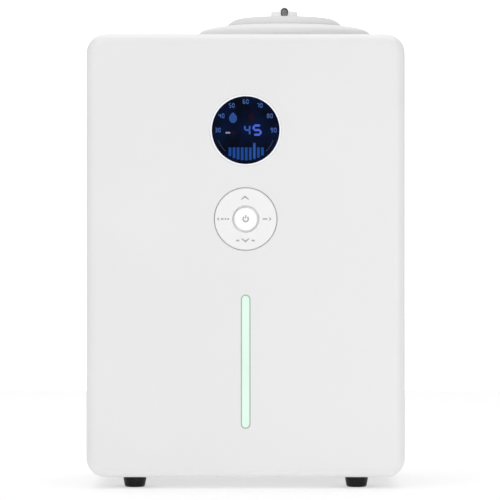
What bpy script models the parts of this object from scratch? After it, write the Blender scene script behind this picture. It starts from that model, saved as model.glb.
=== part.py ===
"""Ultrasonic cool mist humidifier with a lift-out, top-fill tank.

Frame: +X to the right seen from the front, +Y to the rear, +Z up. The origin is on the
surface it stands on, under the middle of the case. The design values below are in
millimetres, with heights above a datum just under that surface; meshes are in metres.
"""

import math

import bmesh
import bpy
from mathutils import Matrix, Vector

MM = 0.001
GAP = 0.3                      # clearance between fixed neighbours
DATUM = 1.4                    # how far the design's zero height lies below the feet

# Case
CASE_WIDTH = 240.0
CASE_DEPTH = 170.0
CASE_BOTTOM = 9.5
CASE_TOP = 343.5
WALL = 2.5
CORNER_R = 14.5                # corners of the front outline
EDGE_R = 8.0                   # edges round the front and rear faces
SEAM_Y = -76.0                 # joint between front cover and rear housing
FRONT_Y = -CASE_DEPTH / 2
REAR_Y = CASE_DEPTH / 2
INNER_FRONT_Y = FRONT_Y + WALL
INNER_REAR_Y = REAR_Y - WALL

# Openings in the case
BASE_HALF_X = 104.0
BASE_FRONT_Y = -71.7
BASE_REAR_Y = 76.0
BASE_THICK = 3.0
TOP_HALF_X = 103.0
TOP_FRONT_Y = -61.0
TOP_REAR_Y = 76.0

# Front panel
DISPLAY_Z = 270.8
LENS_R = 25.3
PAD_Z = 204.0
PAD_R = 23.5
PAD_HOLE_R = 24.0
PAD_OPENING_R = 10.2
BUTTON_R = 8.7
PIVOT_Y = -80.4                # plane of the pad's two rocking axes
SWITCH_REACH = 17.0            # pad centre to each outer switch
LEVEL_Z = 96.8
LEVEL_WIDTH = 6.5
LEVEL_LENGTH = 100.1
BOARD_FRONT_Y = -76.5
BOARD_THICK = 1.6

# Feet and base screws
FOOT_X = 84.0
FOOT_Y = 63.0
FOOT_R = 8.7
FOOT_TOP = 9.2
SCREW_X = 97.0
SCREW_YS = (-45.0, 68.0)
BOSS_TOP = 29.0

# Basin and mist maker
DECK_Z = 78.0
DECK_THICK = 3.0
TROUGH_FLOOR = 37.5
TROUGH_LOW = (-65.0, -30.0)
TROUGH_HIGH = (60.0, 74.0)
MIST_X = 30.0
MIST_Y = 7.5
VALVE_X = -38.0
VALVE_Y = 7.5
FLOAT_X = -20.0
FLOAT_Y = 45.0

# Blower at the rear
FAN_X = 88.0
FAN_Z = 52.0
FAN_R = 22.0
FAN_FRONT_Y = 58.0
FAN_REAR_Y = 76.0
FAN_WALL = 2.0
GRILLE_HALF = 20.0

# Driver board and power socket
DRIVER_LOW = (-25.0, -25.0)
DRIVER_HIGH = (45.0, 40.0)
DRIVER_Z = 20.0
INLET_X = -80.0
INLET_Z = 32.0

# Tank
TANK_HALF_X = 101.5
TANK_FRONT_Y = -59.5
TANK_REAR_Y = 74.5
TANK_BOTTOM = 84.0
TANK_TOP = 335.5
TANK_WALL = 2.2
TUBE_R = 19.5
TUBE_TOP = 346.0

# Lid, cap and nozzle
LID_HALF_X = 102.6
LID_FRONT_Y = -60.6
LID_REAR_Y = 75.6
LID_THICK = 2.5
RING_R = 67.2
RING_TOP = 354.2
CAP_R = 45.5
CAP_TOP = 361.3
NOZZLE_R = 10.6
NOZZLE_BOTTOM = 361.6
MOUTH_Z = 365.2

COLOURS = {
    "white_case": ((0.83, 0.83, 0.82, 1.0), 0.42, 0.0),
    "white_key": ((0.87, 0.87, 0.87, 1.0), 0.38, 0.0),
    "inner_plastic": ((0.72, 0.73, 0.74, 1.0), 0.5, 0.0),
    "clear_tank": ((0.62, 0.70, 0.74, 1.0), 0.18, 0.0),
    "dark_lens": ((0.012, 0.012, 0.035, 1.0), 0.08, 0.0),
    "level_glow": ((0.72, 0.95, 0.80, 1.0), 0.3, 0.0),
    "black_rubber": ((0.02, 0.02, 0.02, 1.0), 0.75, 0.0),
    "grey_rubber": ((0.35, 0.36, 0.37, 1.0), 0.7, 0.0),
    "board_green": ((0.02, 0.16, 0.07, 1.0), 0.45, 0.0),
    "black_plastic": ((0.03, 0.03, 0.035, 1.0), 0.5, 0.0),
    "steel": ((0.62, 0.62, 0.63, 1.0), 0.3, 1.0),
    "aluminium": ((0.78, 0.79, 0.80, 1.0), 0.35, 1.0),
    "filter_foam": ((0.09, 0.10, 0.11, 1.0), 0.9, 0.0),
    "wire_jacket": ((0.05, 0.05, 0.06, 1.0), 0.6, 0.0),
}


# ---------------------------------------------------------------- scene and materials

def clear_scene():
    for item in list(bpy.data.objects):
        bpy.data.objects.remove(item, do_unlink=True)


def new_collection(name):
    collection = bpy.data.collections.new(name)
    bpy.context.scene.collection.children.link(collection)
    return collection


clear_scene()
PARTS = new_collection("cool_mist_humidifier")
CUTTERS = new_collection("cutters")


def material(name):
    found = bpy.data.materials.get(name)
    if found:
        return found
    colour, roughness, metallic = COLOURS[name]
    made = bpy.data.materials.new(name)
    made.use_nodes = True
    shader = made.node_tree.nodes["Principled BSDF"]
    shader.inputs["Base Color"].default_value = colour
    shader.inputs["Roughness"].default_value = roughness
    shader.inputs["Metallic"].default_value = metallic
    made.diffuse_color = colour
    return made


# ---------------------------------------------------------------- shape helpers

def grounded(at):
    """Place in the frame, in metres, of a point given in the design's millimetres."""
    return (Vector(at) - Vector((0, 0, DATUM))) * MM


def place(name, mesh, finish, at=(0, 0, 0)):
    """Link a mesh as an object; finish None makes it a cutter or a joining tool."""
    item = bpy.data.objects.new(name, mesh)
    item.location = grounded(at)
    if finish is None:
        CUTTERS.objects.link(item)
        item.hide_render = True
        item.display_type = 'WIRE'
    else:
        PARTS.objects.link(item)
        mesh.materials.append(material(finish))
    return item


def add_bevel(item, width, limit, segments):
    bevel = item.modifiers.new("bevel", 'BEVEL')
    bevel.width = width * MM
    bevel.segments = segments
    bevel.limit_method = limit
    bevel.angle_limit = math.radians(60)


def block(name, low, high, finish=None, round_axis=None, radius=0.0, segments=3):
    """Box from low to high, with the edges parallel to round_axis rounded."""
    low, high = Vector(low), Vector(high)
    shape = bmesh.new()
    bmesh.ops.create_cube(shape, size=1.0)
    size = high - low
    bmesh.ops.scale(shape, vec=size * MM, verts=shape.verts)
    bmesh.ops.translate(shape, vec=(low + high) / 2 * MM, verts=shape.verts)
    if round_axis:
        axis = "xyz".index(round_axis)
        weights = shape.edges.layers.float.new("bevel_weight_edge")
        for edge in shape.edges:
            run = edge.verts[0].co - edge.verts[1].co
            edge[weights] = 1.0 if abs(run[axis]) > 0.5 * size[axis] * MM else 0.0
    mesh = bpy.data.meshes.new(name)
    shape.to_mesh(mesh)
    shape.free()
    item = place(name, mesh, finish)
    if round_axis:
        add_bevel(item, radius, 'WEIGHT', segments)
    return item


def rod(name, centre, axis, length, radius, finish=None, sides=16, top_radius=None, at=(0, 0, 0)):
    """Cylinder that starts at centre and runs along +axis; top_radius makes it a cone."""
    shape = bmesh.new()
    bmesh.ops.create_cone(shape, cap_ends=True, segments=sides, radius1=radius * MM,
                          radius2=(radius if top_radius is None else top_radius) * MM,
                          depth=length * MM)
    bmesh.ops.translate(shape, vec=(0, 0, length / 2 * MM), verts=shape.verts)
    turn = Vector((0, 0, 1)).rotation_difference(Vector(axis)).to_matrix().to_4x4()
    shift = Matrix.Translation((Vector(centre) - Vector(at)) * MM)
    bmesh.ops.transform(shape, matrix=shift @ turn, verts=shape.verts)
    mesh = bpy.data.meshes.new(name)
    shape.to_mesh(mesh)
    shape.free()
    return smooth(place(name, mesh, finish, at))


def smooth(item):
    item.data.shade_smooth()
    item.data.set_sharp_from_angle(angle=math.radians(40))
    return item


def turned(name, profile, finish=None, at=(0, 0, 0), steps=20, facing_front=False):
    """Turn a profile of (radius, height) about its own axis. It runs down the outer side.

    A profile that starts or ends on the axis is open there; any other is a closed loop.
    facing_front lays the axis along Y, with height growing towards the front.
    """
    mesh = bpy.data.meshes.new(name)
    points = [(radius * MM, 0.0, height * MM) for radius, height in profile]
    count = len(points)
    edges = [(index, index + 1) for index in range(count - 1)]
    if profile[0][0] > 0 or profile[-1][0] > 0:
        edges.append((count - 1, 0))
    mesh.from_pydata(points, edges, [])
    item = place(name, mesh, finish, at)
    if facing_front:
        item.rotation_euler = (math.radians(90), 0, 0)
    screw = item.modifiers.new("turn", 'SCREW')
    screw.axis = 'Z'
    screw.steps = steps
    screw.render_steps = steps
    screw.use_merge_vertices = True
    screw.merge_threshold = 0.00001
    screw.use_smooth_shade = True
    return item


def pill(name, centre, width, length, depth, finish=None, front=0.0, at=(0, 0, 0)):
    """Upright slot shape in the XZ plane: straight sides and round ends, from y = front back."""
    curve = bpy.data.curves.new(name, 'CURVE')
    curve.dimensions = '2D'
    curve.fill_mode = 'BOTH'
    curve.extrude = depth / 2 * MM
    radius = width / 2
    reach = length / 2 - radius
    steps = 6
    outline = []
    for end in (1, -1):
        for step in range(steps + 1):
            angle = math.pi * step / steps
            outline.append((end * radius * math.cos(angle), end * (reach + radius * math.sin(angle))))
    spline = curve.splines.new('POLY')
    spline.points.add(len(outline) - 1)
    for point, (x, y) in zip(spline.points, outline):
        point.co = (x * MM, y * MM, 0, 1)
    spline.use_cyclic_u = True
    drawn = bpy.data.objects.new(name, curve)
    CUTTERS.objects.link(drawn)
    drawn.rotation_euler = (math.radians(90), 0, 0)
    drawn.location = Vector((centre[0], front + depth / 2, centre[1])) * MM
    return as_mesh(drawn, name, finish, at)


def as_mesh(drawn, name, finish, at):
    """Turn a curve object into a closed mesh object with its origin at a point, and remove the curve."""
    bpy.context.view_layer.update()
    evaluated = drawn.evaluated_get(bpy.context.evaluated_depsgraph_get())
    mesh = bpy.data.meshes.new_from_object(evaluated)
    shape = bmesh.new()
    shape.from_mesh(mesh)
    shift = Matrix.Translation(-Vector(at) * MM)
    bmesh.ops.transform(shape, matrix=shift @ drawn.matrix_world, verts=shape.verts)
    bmesh.ops.remove_doubles(shape, verts=shape.verts, dist=0.000001)
    bmesh.ops.recalc_face_normals(shape, faces=shape.faces)
    shape.to_mesh(mesh)
    shape.free()
    curve = drawn.data
    bpy.data.objects.remove(drawn, do_unlink=True)
    bpy.data.curves.remove(curve)
    mesh.materials.clear()
    return place(name, mesh, finish, at)


def wire(name, route, radius, finish="wire_jacket", between=3):
    """Round lead along a smooth curve through the route's points."""
    curve = bpy.data.curves.new(name, 'CURVE')
    curve.dimensions = '3D'
    curve.bevel_depth = radius * MM
    curve.bevel_resolution = 2
    curve.use_fill_caps = True
    points = smooth_route([Vector(point) for point in route], between)
    spline = curve.splines.new('POLY')
    spline.points.add(len(points) - 1)
    for point, position in zip(spline.points, points):
        point.co = (*(position * MM), 1)
    curve.materials.append(material(finish))
    item = bpy.data.objects.new(name, curve)
    item.location = grounded((0, 0, 0))
    PARTS.objects.link(item)


def smooth_route(route, between):
    """Catmull-Rom curve through the points of a route."""
    padded = [2 * route[0] - route[1]] + route + [2 * route[-1] - route[-2]]
    points = []
    for a, b, c, d in zip(padded, padded[1:], padded[2:], padded[3:]):
        for step in range(between):
            t = step / between
            points.append(0.5 * (2 * b + (c - a) * t + (2 * a - 5 * b + 4 * c - d) * t * t
                                 + (3 * b - a - 3 * c + d) * t * t * t))
    points.append(route[-1])
    return points


def boolean(item, tool, operation):
    change = item.modifiers.new(operation.lower(), 'BOOLEAN')
    change.operation = operation
    change.solver = 'EXACT'
    change.object = tool
    return item


def cut(item, *tools):
    for tool in tools:
        boolean(item, tool, 'DIFFERENCE')
    return item


def join(item, *tools):
    for tool in tools:
        boolean(item, tool, 'UNION')
    return item


# ---------------------------------------------------------------- case

def case_form(name, inset, finish=None):
    """Solid of the case's outer shape, drawn in by inset on every side."""
    half_x = CASE_WIDTH / 2 - inset
    half_y = CASE_DEPTH / 2 - inset
    item = block(name, (-half_x, -half_y, CASE_BOTTOM + inset), (half_x, half_y, CASE_TOP - inset),
                 finish, round_axis="y", radius=CORNER_R - inset, segments=4)
    add_bevel(item, EDGE_R - inset, 'ANGLE', 2)
    return item


def slab(name, front, rear):
    """Wide block between two Y planes, to trim the case with."""
    return block(name, (-200, front, -50), (200, rear, 450))


def cover_lip():
    """Tongue on the front cover that locates inside the rear housing."""
    root = case_form("cover_lip_root", WALL - 0.6)
    cut(root, slab("lip_root_front", -200, SEAM_Y - 3.5), slab("lip_root_rear", SEAM_Y, 200))
    tongue = case_form("cover_lip_tongue", WALL + GAP)
    cut(tongue, slab("lip_tongue_front", -200, SEAM_Y - 2.0), slab("lip_tongue_rear", SEAM_Y + 3.6, 200))
    join(root, tongue)
    cut(root, case_form("cover_lip_bore", WALL + GAP + 1.5))
    return root


def front_cover():
    cover = case_form("front_cover", 0.0, "white_case")
    cut(cover, slab("cover_trim", SEAM_Y, 200), case_form("cover_hollow", WALL))
    join(cover, cover_lip())
    for side in (-1, 1):
        for height in (182.0, 297.0):
            join(cover, rod(f"cover_post_{side}_{height:.0f}", (side * 24.0, INNER_FRONT_Y - 0.6, height),
                            (0, 1, 0), BOARD_FRONT_Y - GAP - INNER_FRONT_Y + 0.6, 3.0, sides=12))
        ear = block(f"pivot_ear_{side}", (side * 26 - 1.4, INNER_FRONT_Y - 0.6, PAD_Z - 2.2),
                    (side * 26 + 1.4, PIVOT_Y + 1.6, PAD_Z + 2.2))
        join(cover, cut(ear, rod(f"ear_bore_{side}", (side * 26 - 3, PIVOT_Y, PAD_Z), (1, 0, 0), 6, 0.9,
                                 sides=12)))
    cut(cover,
        rod("lens_hole", (0, FRONT_Y - 5, DISPLAY_Z), (0, 1, 0), 12, LENS_R + GAP, sides=32),
        rod("pad_hole", (0, FRONT_Y - 5, PAD_Z), (0, 1, 0), 12, PAD_HOLE_R, sides=32),
        pill("level_slot", (0, LEVEL_Z), LEVEL_WIDTH + 2 * GAP, LEVEL_LENGTH + 2 * GAP, 12, None,
             FRONT_Y - 5))


def rear_housing():
    housing = case_form("rear_housing", 0.0, "white_case")
    cut(housing, slab("housing_trim", -200, SEAM_Y + GAP), case_form("housing_hollow", WALL))
    for side in (-1, 1):
        low, high = sorted((side * 111.0, side * 118.5))
        join(housing, block(f"deck_ledge_{side}", (low, -50, 73.5), (high, 60, DECK_Z - GAP)))
        for row, y in enumerate(SCREW_YS):
            low, high = sorted((side * SCREW_X, side * 118.5))
            boss = rod(f"boss_{side}_{row}", (side * SCREW_X, y, CASE_BOTTOM + BASE_THICK + GAP),
                       (0, 0, 1), BOSS_TOP - CASE_BOTTOM - BASE_THICK - GAP, 4.5, sides=16)
            join(boss, block(f"boss_rib_{side}_{row}", (low, y - 1.5, 22), (high, y + 1.5, BOSS_TOP)))
            join(housing, boss)
            cut(housing, rod(f"boss_bore_{side}_{row}", (side * SCREW_X, y, 5), (0, 0, 1), 18.5, 1.75,
                             sides=12))
    cut(housing,
        block("top_opening", (-TOP_HALF_X, TOP_FRONT_Y, 330), (TOP_HALF_X, TOP_REAR_Y, 360),
              round_axis="z", radius=13, segments=4),
        block("base_opening", (-BASE_HALF_X - GAP, BASE_FRONT_Y - GAP, 0),
              (BASE_HALF_X + GAP, BASE_REAR_Y + GAP, CASE_BOTTOM + BASE_THICK + 0.1),
              round_axis="z", radius=10),
        block("grille_opening", (FAN_X - GRILLE_HALF - GAP, 80, FAN_Z - GRILLE_HALF - GAP),
              (FAN_X + GRILLE_HALF + GAP, 90, FAN_Z + GRILLE_HALF + GAP)),
        rod("inlet_hole", (INLET_X, 78, INLET_Z), (0, 1, 0), 12, 5.6, sides=20))


def base_plate():
    low_z, high_z = CASE_BOTTOM, CASE_BOTTOM + BASE_THICK
    plate = block("base_plate", (-BASE_HALF_X, BASE_FRONT_Y, low_z), (BASE_HALF_X, BASE_REAR_Y, high_z),
                  "white_case", round_axis="z", radius=10)
    for side in (-1, 1):
        for row, y in enumerate(SCREW_YS):
            cut(plate, rod(f"plate_bore_{side}_{row}", (side * SCREW_X, y, 5), (0, 0, 1), 12, 1.9, sides=10),
                rod(f"plate_sink_{side}_{row}", (side * SCREW_X, y, 5), (0, 0, 1), 6.3, 3.4, sides=12))
        for row, y in enumerate((-FOOT_Y, FOOT_Y)):
            cut(plate, rod(f"foot_bore_{side}_{row}", (side * FOOT_X, y, 5), (0, 0, 1), 12, 3.4, sides=12))
    for x in (DRIVER_LOW[0] + 5, DRIVER_HIGH[0] - 5):
        for y in (DRIVER_LOW[1] + 5, DRIVER_HIGH[1] - 5):
            join(plate, rod(f"board_post_{x:.0f}_{y:.0f}", (x, y, high_z - 0.5), (0, 0, 1),
                            DRIVER_Z - GAP - high_z + 0.5, 3.0, sides=8))
            join(plate, rod(f"board_peg_{x:.0f}_{y:.0f}", (x, y, high_z), (0, 0, 1),
                            DRIVER_Z + 2.6 - high_z, 1.2, sides=6))


def feet_and_screws():
    foot = [(0, FOOT_TOP + 3.0), (3.0, FOOT_TOP + 3.0), (3.0, FOOT_TOP), (FOOT_R, FOOT_TOP),
            (FOOT_R, FOOT_TOP - 1.2), (FOOT_R - 1.2, DATUM + 0.5), (FOOT_R - 1.7, DATUM), (0, DATUM)]
    for end, y in (("front", -FOOT_Y), ("rear", FOOT_Y)):
        for side, x in (("left", -FOOT_X), ("right", FOOT_X)):
            turned(f"foot_{end}_{side}", foot, "black_rubber", (x, y, 0), steps=16)
    screw = [(0, 22.0), (1.1, 22.0), (1.4, 21.0), (1.4, 11.0), (3.0, 11.0), (3.0, 9.9), (1.6, 9.7),
             (1.2, 10.3), (0, 10.3)]
    places = [(side * SCREW_X, y) for side in (-1, 1) for y in SCREW_YS]
    for number, (x, y) in enumerate(places, start=1):
        turned(f"base_screw_{number}", screw, "steel", (x, y, 0), steps=10)


# ---------------------------------------------------------------- front panel

def display():
    lens_back = FRONT_Y + 2.3
    turned("display_lens", [(0, -FRONT_Y), (LENS_R - 0.6, -FRONT_Y), (LENS_R, -FRONT_Y - 0.6),
                            (LENS_R, -lens_back), (0, -lens_back)],
           "dark_lens", (0, 0, DISPLAY_Z), steps=32, facing_front=True)
    front, back = INNER_FRONT_Y + GAP, INNER_FRONT_Y + 1.2
    turned("display_gasket", [(23.5, -front), (28.0, -front), (28.0, -back), (23.5, -back)],
           "black_rubber", (0, 0, DISPLAY_Z), steps=20, facing_front=True)
    block("lcd_module", (-22, back + GAP, DISPLAY_Z - 22), (22, BOARD_FRONT_Y - GAP, DISPLAY_Z + 22),
          "black_plastic", round_axis="y", radius=4)


def control_board():
    back = BOARD_FRONT_Y + BOARD_THICK
    board = block("control_board", (-28, BOARD_FRONT_Y, 178), (28, back, 301), "board_green",
                  round_axis="y", radius=2)
    join(board, block("board_chip", (-7, back - 0.3, 236), (7, back + 1.6, 250)),
         block("board_socket", (-24, back - 0.3, 182), (-12, back + 4.2, 188)))
    offsets = {"up": (0, SWITCH_REACH), "down": (0, -SWITCH_REACH), "left": (-SWITCH_REACH, 0),
               "right": (SWITCH_REACH, 0), "power": (0, 0)}
    for label, (dx, dz) in offsets.items():
        z = PAD_Z + dz
        switch = block(f"key_switch_{label}", (dx - 3, BOARD_FRONT_Y - 2.1, z - 3),
                       (dx + 3, BOARD_FRONT_Y - GAP, z + 3), "black_plastic", round_axis="y", radius=0.6,
                       segments=1)
        join(switch, rod(f"switch_tip_{label}", (dx, BOARD_FRONT_Y - 1.0, z), (0, -1, 0), 2.3, 1.7, sides=16))


def control_pad():
    pivot = (0, PIVOT_Y, PAD_Z)
    front = PIVOT_Y - FRONT_Y
    ring = turned("control_ring", [(PAD_OPENING_R, front), (PAD_R - 0.5, front), (PAD_R, front - 0.5),
                                   (PAD_R, 1.8), (PAD_OPENING_R, 1.8)],
                  "white_key", pivot, steps=32, facing_front=True)
    for number in range(4):
        angle = number * math.pi / 2
        x, z = SWITCH_REACH * math.cos(angle), SWITCH_REACH * math.sin(angle)
        join(ring, rod(f"ring_pusher_{number}", (x, PIVOT_Y - 2.3, PAD_Z + z), (0, 1, 0), 1.3, 1.5, sides=12))
    carrier = turned("ring_carrier", [(19.5, 0.7), (22.5, 0.7), (22.5, -0.7), (19.5, -0.7)],
                     "black_plastic", pivot, steps=16, facing_front=True)
    for side in (-1, 1):
        join(carrier, rod(f"carrier_pin_{side}", (side * 21.5, PIVOT_Y, PAD_Z), (side, 0, 0), 5.4, 0.6,
                          sides=12))
    flange_front, flange_back = PIVOT_Y - 1.1, PIVOT_Y - 0.5
    turned("power_button", [(0, -FRONT_Y), (BUTTON_R - 0.7, -FRONT_Y), (BUTTON_R, -FRONT_Y - 0.7),
                            (BUTTON_R, -flange_front), (11.5, -flange_front), (11.5, -flange_back),
                            (0, -flange_back)],
           "white_key", (0, 0, PAD_Z), steps=24, facing_front=True)


def level_window():
    flange = INNER_FRONT_Y + GAP
    lens = pill("level_lens", (0, LEVEL_Z), LEVEL_WIDTH, LEVEL_LENGTH, flange - FRONT_Y + 0.4, "level_glow",
                FRONT_Y)
    join(lens, pill("level_flange", (0, LEVEL_Z), LEVEL_WIDTH + 4, LEVEL_LENGTH + 4, 1.1, None, flange))
    strip = block("level_light_board", (-6, -79.5, 45), (6, -78.0, 149), "board_green", round_axis="y",
                  radius=1.5, segments=1)
    for number in range(6):
        z = 56.8 + number * 16.0
        join(strip, block(f"light_{number}", (-1.6, -80.6, z - 1.4), (1.6, -79.2, z + 1.4)))


# ---------------------------------------------------------------- basin and mist maker

def water_basin():
    deck_top = DECK_Z + DECK_THICK
    (x0, y0), (x1, y1) = TROUGH_LOW, TROUGH_HIGH
    basin = block("water_basin", (-116, -66, DECK_Z), (116, 81, deck_top), "inner_plastic",
                  round_axis="z", radius=8)
    rim = block("basin_rim", (-105.2, -63.2, deck_top - 0.5), (105.2, 78.2, deck_top + 9), round_axis="z",
                radius=14)
    cut(rim, block("rim_inside", (-103.2, -61.2, 60), (103.2, 76.2, 100), round_axis="z", radius=12))
    join(basin, rim,
         block("trough", (x0 - 2.5, y0 - 2.5, TROUGH_FLOOR), (x1 + 2.5, y1 + 2.5, deck_top - 0.5),
               round_axis="z", radius=8))
    for x in (-90, 90):
        for y in (-48, 62):
            join(basin, block(f"tank_pad_{x}_{y}", (x - 6, y - 6, deck_top - 0.5),
                              (x + 6, y + 6, TANK_BOTTOM - GAP)))
    cut(basin, block("trough_inside", (x0, y0, TROUGH_FLOOR + 2.5), (x1, y1, 120), round_axis="z",
                     radius=6),
        rod("transducer_hole", (MIST_X, MIST_Y, 30), (0, 0, 1), 20, 9.0),
        block("air_slot", (x1 - 2, 61, 64.4), (x1 + 6, 73, 71.6)))
    join(basin, rod("valve_post", (VALVE_X, VALVE_Y, TROUGH_FLOOR + 1), (0, 0, 1), 61.2 - TROUGH_FLOOR - 1,
                    4.0, sides=16),
         rod("float_post", (FLOAT_X, FLOAT_Y, TROUGH_FLOOR + 1), (0, 0, 1), 66 - TROUGH_FLOOR - 1, 3.0,
             sides=16))


def mist_maker():
    at = (MIST_X, MIST_Y, 0)
    seal_top = TROUGH_FLOOR - GAP
    turned("transducer_seal", [(8.6, seal_top), (13, seal_top), (13, seal_top - 3.3), (8.6, seal_top - 3.3),
                               (8.6, seal_top - 2.4), (10.3, seal_top - 2.4), (10.3, seal_top - 0.8),
                               (8.6, seal_top - 0.8)],
           "black_rubber", at)
    turned("transducer_disc", [(0, seal_top - 1.1), (10, seal_top - 1.1), (10, seal_top - 2.1),
                               (0, seal_top - 2.1)],
           "steel", at)
    turned("transducer_clamp", [(9.5, seal_top - 3.6), (18, seal_top - 3.6), (18, seal_top - 5.2),
                                (9.5, seal_top - 5.2)],
           "steel", at)


def low_water_float():
    pivot = (FLOAT_X, FLOAT_Y, 43)
    turned("float", [(3.6, 10), (10, 10), (11, 9), (11, 1), (10, 0), (3.6, 0)], "inner_plastic", pivot,
           steps=20)
    turned("float_clip", [(3.3, 65.5), (6, 65.5), (6, 64.3), (3.3, 64.3)], "inner_plastic",
           (FLOAT_X, FLOAT_Y, 0), steps=16)


def driver_electronics():
    (x0, y0), (x1, y1) = DRIVER_LOW, DRIVER_HIGH
    top = DRIVER_Z + BOARD_THICK
    board = block("driver_board", (x0, y0, DRIVER_Z), (x1, y1, top), "board_green")
    join(board, rod("coil", (-12, 12, top - 0.3), (0, 0, 1), 9, 6.0, sides=16),
         rod("capacitor_1", (2, 24, top - 0.3), (0, 0, 1), 12, 4.0, sides=12),
         rod("capacitor_2", (14, 27, top - 0.3), (0, 0, 1), 12, 4.0, sides=12),
         block("power_socket_shell", (-24.5, 3, top - 0.3), (-20, 17, top + 5)))
    for x in (x0 + 5, x1 - 5):
        for y in (y0 + 5, y1 - 5):
            cut(board, rod(f"driver_hole_{x:.0f}_{y:.0f}", (x, y, 10), (0, 0, 1), 20, 1.6, sides=8))
    sink = block("driver_heatsink", (-12, -19, top + GAP), (24, -7, top + 2.5), "aluminium")
    for number in range(6):
        x = -12 + number * 6.96
        join(sink, block(f"fin_{number}", (x, -19, top + 2.0), (x + 1.2, -7, top + 9)))


def power_inlet():
    """Barrel socket with its pin; the flange clamps it behind the rear wall."""
    front = 70.0
    mouth = REAR_Y - GAP
    flange = INNER_REAR_Y - GAP
    turned("power_inlet", [(0, -front), (5.3, -front), (5.3, -(flange - 2.7)), (8, -(flange - 2.7)),
                           (8, -flange), (5.3, -flange), (5.3, -mouth), (3.1, -mouth),
                           (3.1, -74), (1.0, -74), (1.0, -83), (0, -83)],
           "black_plastic", (INLET_X, 0, INLET_Z), steps=16, facing_front=True)


# ---------------------------------------------------------------- blower and intake

def blower():
    axis = (0, 1, 0)
    centre = (FAN_X, FAN_FRONT_Y, FAN_Z)
    depth = FAN_REAR_Y - FAN_FRONT_Y
    inner = depth - 2 * FAN_WALL
    outlet_x = 67.5
    housing = rod("fan_housing", centre, axis, depth, FAN_R, "black_plastic", sides=28)
    join(housing, block("outlet_body", (outlet_x, FAN_FRONT_Y, FAN_Z + 10), (FAN_X, FAN_REAR_Y, FAN_Z + FAN_R)))
    cut(housing, rod("scroll_inside", (FAN_X, FAN_FRONT_Y + FAN_WALL, FAN_Z), axis, inner, FAN_R - FAN_WALL,
                     sides=28),
        block("outlet_inside", (outlet_x - 2, FAN_FRONT_Y + FAN_WALL, FAN_Z + 12),
              (FAN_X, FAN_REAR_Y - FAN_WALL, FAN_Z + FAN_R - FAN_WALL)),
        rod("fan_inlet", (FAN_X, FAN_REAR_Y - 3, FAN_Z), axis, 6, 12.0, sides=20),
        rod("lead_hole", (FAN_X, FAN_FRONT_Y - 1, FAN_Z), axis, 4, 3.0, sides=16))
    motor_front = FAN_FRONT_Y + FAN_WALL + GAP
    turned("fan_motor", [(0, -motor_front), (8.5, -motor_front), (8.5, -66.0), (1.5, -66.0), (1.5, -69.5),
                         (0, -69.5)],
           "steel", (FAN_X, 0, FAN_Z), steps=16, facing_front=True)
    impeller()
    duct = block("air_duct", (TROUGH_HIGH[0] + 2.5 + GAP, FAN_FRONT_Y, FAN_Z + 10),
                 (outlet_x - GAP, FAN_REAR_Y, FAN_Z + FAN_R), "black_rubber")
    cut(duct, block("duct_inside", (50, FAN_FRONT_Y + FAN_WALL, FAN_Z + 12),
                    (90, FAN_REAR_Y - FAN_WALL, FAN_Z + FAN_R - FAN_WALL)))


def impeller():
    """Back plate, twelve swept blades and a front ring, turning about the motor's shaft."""
    plate_y = 66.6
    at = (FAN_X, 0, FAN_Z)
    wheel = turned("fan_impeller", [(1.8, -plate_y), (17.5, -plate_y), (17.5, -plate_y - 1.4),
                                    (1.8, -plate_y - 1.4)],
                   "white_key", at, steps=20, facing_front=True)
    for number in range(12):
        blade = block(f"blade_{number}", (11.5, plate_y + 0.7, -0.6), (17.0, 73.0, 0.6))
        blade.location = grounded(at)
        blade.rotation_euler = (0, number * math.pi / 6, 0)
        join(wheel, blade)
    join(wheel, turned("blade_ring", [(14.5, -72.2), (17.5, -72.2), (17.5, -73.4), (14.5, -73.4)], None, at,
                       steps=20, facing_front=True))


def intake():
    half = GRILLE_HALF
    grille = block("rear_grille", (FAN_X - half, INNER_REAR_Y, FAN_Z - half),
                   (FAN_X + half, REAR_Y, FAN_Z + half), "white_case")
    for number in range(6):
        z = FAN_Z - half + 5.0 + number * 6.0
        cut(grille, block(f"louvre_{number}", (FAN_X - half + 4, 78, z - 1.5), (FAN_X + half - 4, 90, z + 1.5)))
    block("intake_filter", (FAN_X - 19, 77.8, FAN_Z - 19), (FAN_X + 19, INNER_REAR_Y - GAP, FAN_Z + 19),
          "filter_foam")


# ---------------------------------------------------------------- tank and valve

def water_tank():
    wall = TANK_WALL
    tank = block("water_tank", (-TANK_HALF_X, TANK_FRONT_Y, TANK_BOTTOM), (TANK_HALF_X, TANK_REAR_Y, TANK_TOP),
                 "clear_tank", round_axis="z", radius=12, segments=4)
    join(tank, rod("valve_neck", (VALVE_X, VALVE_Y, 76), (0, 0, 1), 9, 19.3, sides=28))
    cut(tank, block("tank_inside", (-TANK_HALF_X + wall, TANK_FRONT_Y + wall, TANK_BOTTOM + 3),
                    (TANK_HALF_X - wall, TANK_REAR_Y - wall, 400), round_axis="z", radius=12 - wall,
                    segments=4),
        rod("neck_bore", (VALVE_X, VALVE_Y, 70), (0, 0, 1), 30, 17.0, sides=28),
        rod("tube_hole", (MIST_X, MIST_Y, 70), (0, 0, 1), 30, TUBE_R + 0.5, sides=28))
    turned("mist_tube", [(TUBE_R - 1.8, TUBE_TOP), (TUBE_R, TUBE_TOP), (TUBE_R, 89.3), (24, 89.3),
                         (24, 87.3), (TUBE_R, 87.3), (TUBE_R, 82.5), (TUBE_R - 1.8, 82.5)],
           "clear_tank", (MIST_X, MIST_Y, 0))


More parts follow.
